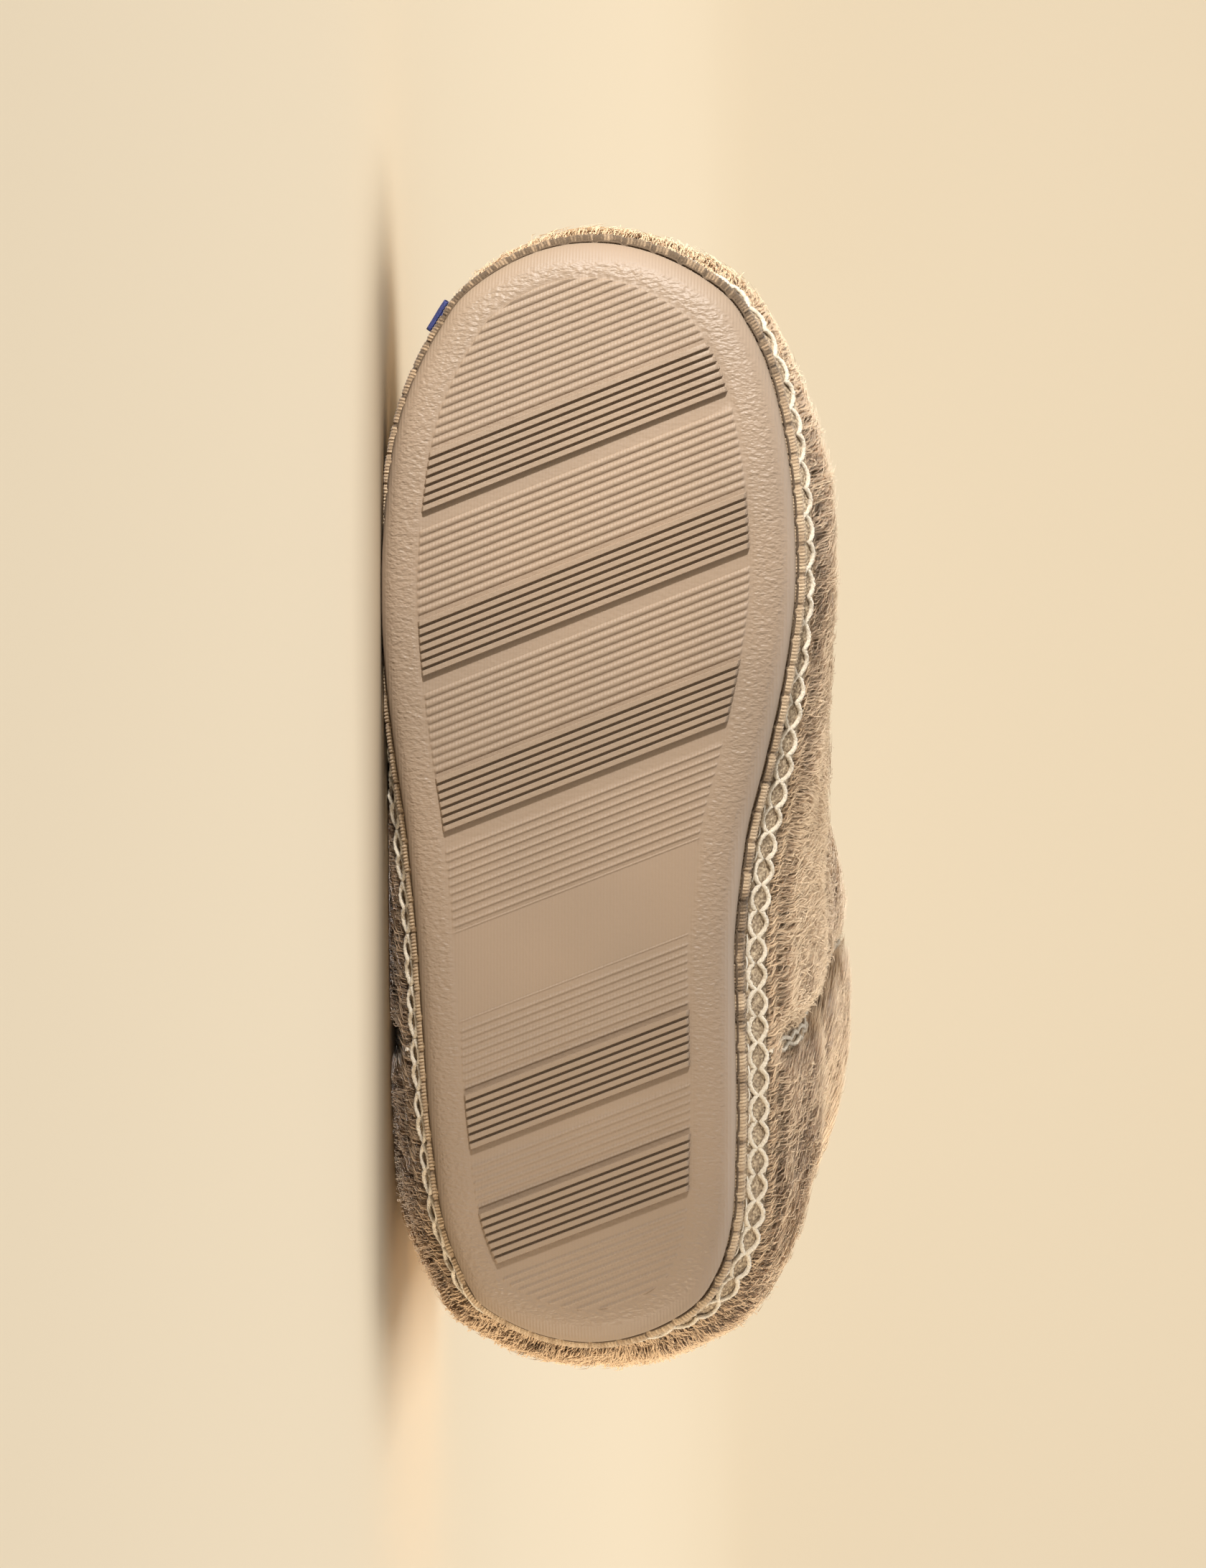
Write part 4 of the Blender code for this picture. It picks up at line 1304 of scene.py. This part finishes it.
def shell_rows(heights, lifts):
    """Rows of the wall at heights and lifts, all the way round, and the directions out of the wall there."""
    turns, levels = np.meshgrid(shell_turns, heights)
    return on_upper(turns, levels, lifts[:, None] + 0 * turns), cloth_axes(turns, levels)[2]


hide_rows, _ = shell_rows(hide_heights, np.zeros(len(hide_heights)))
crest_rows, _ = shell_rows(np.full(len(crest_angles), COLLAR_HEIGHT), -WALL * (1 - np.cos(crest_angles)) / 2)
crest_rows[..., 2] += COLLAR_CREST * np.sin(crest_angles)[:, None]
lining_rows, lining_out = shell_rows(lining_heights, np.full(len(lining_heights), -WALL))
fleece_share = soft_step(WALL_BOTTOM, FLEECE_FULL, lining_heights)[:, None]
lumps = FLEECE_DEPTH * noise(lining_rows, FLEECE_LUMP, 2) * fleece_share
lining_rows = lining_rows + lumps[..., None] * lining_out

shell_grid = np.concatenate((hide_rows, crest_rows, lining_rows))
shell = put_grids("hide_and_lining", [shell_grid], clearance=SHELL_CLEARANCE)
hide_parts("upper")

# %% Brown backing cloth with a close nap, and curly cream fleece
FLEECE_STARTS = 2

cream_fleece = mottled_finish(
    "cream_fleece", (0.66, 0.56, 0.43), roughness=0.97, specular=0.1, sheen=0.4,
    size=1.6, detail=4.0, depth=1.2,
    stops=((0.32, (0.47, 0.37, 0.26)), (0.62, (0.73, 0.64, 0.51))))
shell.data.materials.append(mottled_finish(
    "fur_backing", (0.25, 0.175, 0.115), roughness=0.95, specular=0.1, size=1.2, detail=3.0, depth=0.6,
    stops=((0.35, (0.35, 0.243, 0.146)), (0.65, (0.49, 0.345, 0.21)))))
shell.data.materials.append(cream_fleece)
row_of_face = np.arange(len(shell.data.polygons)) // SHELL_COLUMNS
inside = (row_of_face >= len(hide_heights) + FLEECE_STARTS) & (row_of_face < len(shell_grid) - 1)
shell.data.polygons.foreach_set("material_index", inside.astype(np.int32))
print("the lining covers", int(inside.sum()), "faces of the shell")

# %% [markdown]
# ## Fur
# Real fur is far more hairs than a mesh can hold, so each ribbon here stands for a small
# bunch of them. Roots are spread evenly over the hide. A hair rises to the depth of the
# pile, leans along the nap, and is drawn towards the middle of its lock, so that locks part
# and show darker roots between them. Ribbons are plain meshes, made as one array.

# %% Roots of the hairs
HAIRS = 290000
FUR_SEED = 23
FUR_LOW = 20.6
SEAM_BARE = 1.5
ROOT_CELLS = (420, 170)
AREA_LIFT = 3.0

fur_chance = np.random.default_rng(FUR_SEED)


def spread_roots(count):
    """Angles and heights of roots: a cell of the wall is drawn with a chance equal to its share of the
    area, and the root lies anywhere in it. Roots in the seams are left out."""
    turns = np.linspace(0, 2 * np.pi, ROOT_CELLS[0] + 1)
    heights = np.linspace(FUR_LOW, COLLAR_HEIGHT, ROOT_CELLS[1] + 1)
    grid = on_upper(*np.meshgrid(turns, heights), np.full((len(heights), len(turns)), AREA_LIFT))
    across = grid[1:, 1:] - grid[:-1, :-1]
    other = grid[1:, :-1] - grid[:-1, 1:]
    area = np.linalg.norm(np.cross(across, other), axis=-1) / 2
    drawn = fur_chance.choice(area.size, count, p=(area / area.sum()).ravel())
    row, column = np.divmod(drawn, ROOT_CELLS[0])
    turn = (column + fur_chance.random(count)) * (turns[1] - turns[0])
    height = FUR_LOW + (row + fur_chance.random(count)) * (heights[1] - heights[0])
    seam, scale = seam_turn(height)
    aside = np.abs(np.minimum(turn, 2 * np.pi - turn) - seam) * scale
    keep = aside > SEAM_BARE
    return turn[keep], height[keep], aside[keep], area.sum()


root_turns, root_heights, root_aside, fur_area = spread_roots(HAIRS)
print(len(root_turns), "hairs on", round(fur_area / 100), "square centimetres")

# %% The blade of a hair
BEND_RISE = 0.88
BEND_SWEEP = 0.28
BEND_PULL = 0.45
BLADE_ROLL = 0.45
BLADE_LEAST = 0.12
BLADE_MOST = 0.21
BLADE_CLEARANCE = 0.15


def hair_blades(roots, out, nap, rise, sweep, pull):
    """Four points for each hair: the root, two at its bend and the tip, so that it is a narrow kite. At the
    bend it has risen more and swept less than at the tip, so it lies over. Its width is square to it."""
    bend = roots + BEND_RISE * rise[:, None] * out + BEND_SWEEP * sweep[:, None] * nap + BEND_PULL * pull
    tip = roots + rise[:, None] * out + sweep[:, None] * nap + pull
    roll = fur_chance.uniform(-BLADE_ROLL, BLADE_ROLL, (len(roots), 1))
    width = unit(np.cross(tip - roots, out))
    width = unit(width * np.cos(roll) + out * np.sin(roll))
    width = width * fur_chance.uniform(BLADE_LEAST, BLADE_MOST, (len(roots), 1))
    return toe_spring(rest(np.stack((roots, bend + width, bend - width, tip), axis=1), BLADE_CLEARANCE))


print("a blade is", 2 * BLADE_LEAST, "to", 2 * BLADE_MOST, "mm wide")

# %% Nap and locks
LOCK_SIZE = 3.2
LOCK_WANDER = 0.35
LOCK_PULL = 0.24
NAP_FORWARD = math.radians(50.0)
NAP_SWIRL = math.radians(45.0)
NAP_SWIRL_SIZE = 34.0
NAP_LOCK_TURN = math.radians(12.0)
NAP_HAIR_TURN = math.radians(15.0)
NAP_MEETS = 0.6


def nap_directions(turn, height, forward, swirl):
    """Directions along the wall: up it, turned towards the toe by a forward angle, and by a swirl of each
    hair's own. The forward angle fades where the two sides meet at heel and toe, so no parting opens."""
    around, upward, _ = cloth_axes(turn, height)
    angle = forward * np.tanh(np.sin(turn) / NAP_MEETS) - swirl
    return unit(np.cos(angle)[:, None] * upward + np.sin(angle)[:, None] * around)


def lock_pull(roots, out):
    """The way from a root to the middle of its lock, level with the wall, and the lock's random numbers.
    Space is cut in cubes, and a lock's middle lies at random in its cube."""
    cells = np.floor(roots / LOCK_SIZE).astype(np.int64)
    luck = chance_of(cells)
    middle = (cells + 0.5 + LOCK_WANDER * luck[:, :3]) * LOCK_SIZE
    way = middle - roots
    return LOCK_PULL * (way - np.sum(way * out, -1, keepdims=True) * out), luck


print("locks are about", LOCK_SIZE, "mm apart")

# %% The pile
ROOT_LIFT = 0.2
HAIR_RISE = 1.12
RISE_MIDDLE = 0.88
RISE_BY_LOCK = 0.07
RISE_BY_SWELL = 0.12
RISE_BY_HAIR = 0.07
RISE_LEAST = 0.8
SWELL_SIZE = 11.0
SEAM_PILE = 9.0
SEAM_SHARE = 0.25
LYING = (0.55, 1.25)
LYING_RISE = 1.14
LYING_DROP = 0.14
STANDING = 0.09
STANDING_LEAN = 0.35
HAIR_SWEEP = 1.65
SWEPT_PILE_LEAST = 2.5
LAYERED = 0.65
LAYER_REACH = (0.40, 0.85)
HAIR_TINT = 0.5
TINT_BY_LOCK = 0.08
TINT_BY_PATCH = 0.22
PATCH_SIZE = 14.0
LAYER_TINT = 0.35
FOLD_PAINTED_SHADE_AND_LIGHT = 0.10
PAINTED_FOLD_LIMITS = (-4.0, 2.0)
LOW_FUR_PAINTED_BAND = (35.0, 65.0)
TOE_PAINTED_LIGHT = 0.42
TOE_PAINTED_LIGHT_OVER = (175.0, 225.0)
HEEL_PAINTED_SHADE = 0.30
HEEL_PAINTED_SHADE_OVER = (0.0, 45.0)


def pile_hairs(turn, height, aside):
    """The pile: each hair leans with the nap, which turns with slow noise, with its lock and a little by
    itself. Its rise is the pile's depth, uneven by lock and in slow swells, and short beside a seam. Most
    hairs start part of the way up, where they part from their bunch, so that they lie over in layers."""
    roots = on_upper(turn, height, np.full(len(turn), ROOT_LIFT))
    out = cloth_axes(turn, height)[2]
    pull, luck = lock_pull(roots, out)
    swirl = NAP_SWIRL * noise(roots, NAP_SWIRL_SIZE, 3) + NAP_LOCK_TURN * luck[:, 3]
    swirl += NAP_HAIR_TURN * fur_chance.normal(size=len(turn))
    nap = nap_directions(turn, height, NAP_FORWARD, swirl)
    by_seam = SEAM_SHARE + (1 - SEAM_SHARE) * soft_step(SEAM_BARE, SEAM_PILE, aside)
    depth = pile_depth(turn, height) * by_seam
    uneven = RISE_MIDDLE + RISE_BY_LOCK * luck[:, 4] + RISE_BY_SWELL * noise(roots, SWELL_SIZE, 5)
    rise = HAIR_RISE * depth * (uneven + RISE_BY_HAIR * fur_chance.normal(size=len(turn)))
    lying = fur_chance.uniform(*LYING, len(turn))
    lying *= np.where(fur_chance.random(len(turn)) < STANDING, STANDING_LEAN, 1.0)
    rise = np.clip(rise * (LYING_RISE - LYING_DROP * lying), RISE_LEAST, None)
    layer = fur_chance.uniform(*LAYER_REACH, len(turn)) * (fur_chance.random(len(turn)) < LAYERED)
    roots = roots + (layer * rise)[:, None] * out
    sweep = HAIR_SWEEP * np.maximum(depth, SWEPT_PILE_LEAST) * lying
    tint = HAIR_TINT + TINT_BY_LOCK * luck[:, 5] + TINT_BY_PATCH * noise(roots, PATCH_SIZE, 4)
    # painted shade and light: hairs are darker in the creases of the wall and paler on its swells
    tint += FOLD_PAINTED_SHADE_AND_LIGHT * np.clip(fold_lift(cloth(turn, height)), *PAINTED_FOLD_LIMITS)
    low = 1 - soft_step(*LOW_FUR_PAINTED_BAND, height)
    # painted light: low on the toe, hairs are paler where the lamps leave them in shade
    tint += LAYER_TINT * layer + TOE_PAINTED_LIGHT * low * soft_step(*TOE_PAINTED_LIGHT_OVER, roots[:, 1])
    # painted shade: low at the heel, hairs are darker where the heel lamp lights them
    tint -= HEEL_PAINTED_SHADE * low * (1 - soft_step(*HEEL_PAINTED_SHADE_OVER, roots[:, 1]))
    return hair_blades(roots, out, nap, (1 - layer) * rise, sweep, pull), out, tint


pile = pile_hairs(root_turns, root_heights, root_aside)
hair_lengths = np.linalg.norm(pile[0][:, 3] - pile[0][:, 0], axis=-1)
print("the pile's tips are", hair_lengths.mean().round(1), "mm from their roots")

# %% Short hairs beside the braid and over the collar
EDGE_HAIRS = 24000
EDGE_HIGH = 26.0
EDGE_CROWDING = 1.5
EDGE_SWIRL = 0.3
EDGE_RISE = (1.4, 3.2)
EDGE_SWEEP = 1.9
EDGE_PAINTED_LIGHT_TINT = 0.75
EDGE_PATCH_TINT = 0.12
EDGE_PATCH_SIZE = 6.0
EDGE_HEEL_PAINTED_SHADE = 2 * HEEL_PAINTED_SHADE
RIM_HAIRS = 16000
RIM_INSIDE = 0.62 * np.pi
RIM_FORWARD = math.radians(60.0)
RIM_SWIRL = 0.5
RIM_RISE = (2.0, 4.2)
RIM_SWEEP = 0.9
RIM_TINT_BY_PATCH = 0.2
RIM_PATCH_SIZE = 8.0
TINT_BY_HAIR = 0.06


def edge_hairs(count):
    """Short hairs just above the sole braid that lean with the nap, to fill the pile's edge."""
    turn = np.interp(fur_chance.random(count), wall_share, FULL_TURN)
    height = FUR_LOW + (EDGE_HIGH - FUR_LOW) * fur_chance.random(count) ** EDGE_CROWDING
    roots = on_upper(turn, height, np.full(count, ROOT_LIFT))
    out = cloth_axes(turn, height)[2]
    nap = nap_directions(turn, height, NAP_FORWARD, fur_chance.normal(0, EDGE_SWIRL, count))
    rise = fur_chance.uniform(*EDGE_RISE, count)
    # painted light: the edge hairs get a paler tint than the pile, lifting the shade beside the braid
    tint = EDGE_PAINTED_LIGHT_TINT + EDGE_PATCH_TINT * noise(roots, EDGE_PATCH_SIZE, 4)
    # painted shade: near the heel the edge hairs are darker still
    tint -= EDGE_HEEL_PAINTED_SHADE * (1 - soft_step(*HEEL_PAINTED_SHADE_OVER, roots[:, 1]))
    return hair_blades(roots, out, nap, rise, EDGE_SWEEP * rise, 0 * roots), out, tint


def rim_hairs(count):
    """Hairs over the collar's rounded edge: a half turn from outside to inside gives the direction that
    each stands out in, the cosine of it out of the wall and the sine up."""
    turn = 2 * np.pi * fur_chance.random(count)
    height = np.full(count, COLLAR_HEIGHT)
    lean = fur_chance.uniform(0, RIM_INSIDE, count)
    wall_out = cloth_axes(turn, height)[2]
    roots = on_upper(turn, height, -WALL * (1 - np.cos(lean)) / 2)
    roots[:, 2] += COLLAR_CREST * np.sin(lean)
    out = unit(np.cos(lean)[:, None] * wall_out + np.sin(lean)[:, None] * np.array((0.0, 0.0, 1.0)))
    nap = nap_directions(turn, height, RIM_FORWARD, fur_chance.normal(0, RIM_SWIRL, count))
    rise = fur_chance.uniform(*RIM_RISE, count)
    tint = HAIR_TINT + RIM_TINT_BY_PATCH * noise(roots, RIM_PATCH_SIZE, 4)
    return hair_blades(roots, out, nap, rise, RIM_SWEEP * rise, 0 * roots), out, tint


hair_sets = (pile, edge_hairs(EDGE_HAIRS), rim_hairs(RIM_HAIRS))
hair_points = np.concatenate([hairs for hairs, _, _ in hair_sets])
hair_out = np.concatenate([out for _, out, _ in hair_sets])
hair_tint = np.concatenate([tint for _, _, tint in hair_sets])
hair_tint += TINT_BY_HAIR * fur_chance.normal(size=len(hair_tint))
print(len(hair_points), "hairs in all")

# %% Hair pieces
FUR_PIECES = (
    ("fur_heel", -100.0, 38.0),
    ("fur_seam", 38.0, 82.0),
    ("fur_waist", 82.0, 126.0),
    ("fur_instep", 126.0, 180.0),
    ("fur_toe", 180.0, 400.0),
)
HAIR_FOOT = np.array((0, 1, 2))
HAIR_TIP = np.array((2, 1, 3))
TIP_SHARES = np.array((0.0, 0.6, 0.6, 1.0))
HAIR_POINTS = len(TIP_SHARES)
NORMAL_SOFTNESS = 0.68


def put_hairs(name, chosen):
    """One piece of fur: the chosen hairs as two triangles each, with the root to tip share and tint stored,
    and normals leaned towards the wall's, which is how light meets a soft pile."""
    count = int(chosen.sum())
    points = hair_points[chosen].reshape(-1, 3)
    start = HAIR_POINTS * np.arange(count)[:, None]
    triangles = np.concatenate((start + HAIR_FOOT, start + HAIR_TIP))
    piece = put_mesh(name, points, np.zeros((0, 4), int), triangles)
    put_attribute(piece, "tip", np.tile(TIP_SHARES, count))
    put_attribute(piece, "tint", np.repeat(hair_tint[chosen], HAIR_POINTS))
    own = np.zeros(len(points) * 3, np.float32)
    piece.data.vertices.foreach_get("normal", own)
    soft = np.repeat(hair_out[chosen], HAIR_POINTS, axis=0) @ TURNED.T
    mixed = unit(NORMAL_SOFTNESS * soft + (1 - NORMAL_SOFTNESS) * own.reshape(-1, 3))
    piece.data.normals_split_custom_set_from_vertices(mixed)
    return piece


root_along = hair_points[:, 0, 1]
fur_pieces = [put_hairs(name, (root_along >= low) & (root_along < high)) for name, low, high in FUR_PIECES]

# %% Fur finish
TINT_WEIGHT = 0.55
RAMP_SHARE = 0.66


def fur_finish():
    """Plush taupe hair: dark at the root and pale at the tip, lighter or darker by its tint. The ramp is read
    at the tip share plus a weight of the tint, brought between 0 and 1."""
    finish, tree, shader = start_finish("taupe_fur", (0.5, 0.36, 0.25), roughness=0.8, specular=0.15)
    shader.inputs["Sheen Weight"].default_value = 0.2
    shader.inputs["Sheen Roughness"].default_value = 0.5
    tint = add_attribute(tree, "tint")
    place = add_math(tree, "ADD", add_attribute(tree, "tip"), add_math(tree, "MULTIPLY", tint, TINT_WEIGHT))
    shade = add_ramp(tree, add_math(tree, "MULTIPLY", place, RAMP_SHARE), (
        (0.08, (0.40, 0.275, 0.165)),
        (0.42, (0.50, 0.342, 0.203)),
        (0.70, (0.67, 0.480, 0.292)),
        (0.95, (0.79, 0.598, 0.384)),
    ))
    tree.links.new(shade, shader.inputs["Base Color"])
    return finish


taupe_fur = fur_finish()
for piece in fur_pieces:
    piece.data.materials.append(taupe_fur)
print("fur is on", len(fur_pieces), "pieces")

# %% [markdown]
# ## Footbed
# Inside, a fleece pad lies on the rubber, cut to the shape of the sole. It could be a flat
# sheet with thickness, but rings drawn in from the outline to the middle line round off its
# edge and carry the lumps of the fleece.

# %% The pad
PAD_INSET = -5.6
PAD_LOW = 10.0
PAD_HIGH = 13.7
PAD_COLUMNS = 176
PAD_RINGS = np.linspace(1.0, 0.02, 18)
PAD_EDGE = 0.9
PAD_ROUND = (0.9, 1.0)
PAD_LUMP = 0.5
PAD_SETTLED = 0.8
PAD_SPINE = (34.0, 232.0)


def pad_rings():
    """Rings of the pad: its low edge, then rings whose points slide from the outline to the middle line by
    equal shares, lifted by noise on top and rounded off at the edge."""
    turn = round_angles(PAD_COLUMNS)
    edge = offset_outline(turn, np.full(PAD_COLUMNS, PAD_INSET))
    spine = np.stack((0 * turn, np.clip(edge[:, 1], *PAD_SPINE)), -1)
    shares = np.concatenate(((1.0,), PAD_RINGS))[:, None, None]
    flat = spine + shares * (edge - spine)
    top = np.concatenate((flat, np.full(flat.shape[:2] + (1,), PAD_HIGH)), -1)
    lumps = PAD_LUMP * (noise(top, FLEECE_LUMP, 2) - PAD_SETTLED)
    top[..., 2] += lumps - PAD_EDGE * soft_step(*PAD_ROUND, shares[..., 0])
    top[0, :, 2] = PAD_LOW
    return top


pad_grid = toe_spring(pad_rings())
pad_points = pad_grid.reshape(-1, 3)
pad_quads = grid_faces(*pad_grid.shape[:2], columns_close=True)
half = np.arange(PAD_COLUMNS // 2 - 1)
base = np.stack((half, half + 1, PAD_COLUMNS - 2 - half, PAD_COLUMNS - 1 - half), -1)
crown = base[:, ::-1] + (len(pad_grid) - 1) * PAD_COLUMNS
pad = put_mesh("fleece_footbed", pad_points, faces_out(pad_points, np.concatenate((pad_quads, base, crown))))
pad.data.materials.append(cream_fleece)
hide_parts("insole")

# %% [markdown]
# ## Blue tab
# A short length of blue woven tape is folded in half and sewn in at the binding's top, at
# the outer side of the toe. The fold is one path, up, round and down again, carried across the
# tab's width. Solidify gives it the thickness of tape.

# %% The folded tape
TAB_FROM_HEEL = 252.5
TAB_HALF = 4.0
TAB_TAPE = 0.42
TAB_PROFILE = table("step out height", (
    (0.0, 2.4, 14.4),
    (1.0, 3.5, 17.0),
    (2.0, 4.0, 22.4),
    (3.0, 4.3, 23.2),
    (4.0, 4.6, 22.4),
    (5.0, 4.2, 17.0),
    (6.0, 3.0, 14.4),
))
TAB_STEPS = 31
TAB_COLUMNS = 13

tab_middle = np.arccos(1 - 2 * TAB_FROM_HEEL / SOLE_LENGTH)
tab_pace = np.linalg.norm(outline(tab_middle + TURN_STEP) - outline(tab_middle - TURN_STEP)) / (2 * TURN_STEP)
tab_turns = tab_middle + np.linspace(-TAB_HALF, TAB_HALF, TAB_COLUMNS)[None, :] / tab_pace
tab_step = np.linspace(0, TAB_PROFILE["step"][-1], TAB_STEPS)[:, None]
tab_out = through(TAB_PROFILE, "step", "out", tab_step) + 0 * tab_turns
tab_height = through(TAB_PROFILE, "step", "height", tab_step) + 0 * tab_turns
tab_flat = offset_outline(tab_turns + 0 * tab_step, tab_out)
tab_grid = toe_spring(np.concatenate((tab_flat, tab_height[..., None]), -1))
tab = put_mesh("folded_tab", tab_grid.reshape(-1, 3), grid_faces(TAB_STEPS, TAB_COLUMNS))
thicken = tab.modifiers.new("tape", "SOLIDIFY")
thicken.thickness = TAB_TAPE * MM
thicken.offset = 0.0
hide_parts("side_tab")

# %% Blue woven finish
tab.data.materials.append(mottled_finish(
    "blue_tab", (0.03, 0.04, 0.13), roughness=0.75, specular=0.2, size=0.5, detail=3.0, depth=0.2,
    stops=((0.35, (0.02, 0.026, 0.09)), (0.7, (0.05, 0.062, 0.19)))))
print("the tab is", 2 * TAB_HALF, "mm wide")

# %% Size and end
bpy.context.view_layer.update()
seen_low, seen_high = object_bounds()
growth = (seen_high - seen_low) - (cad_high - cad_low)
print("box grew by", [round(side / MM, 1) for side in growth], "mm")
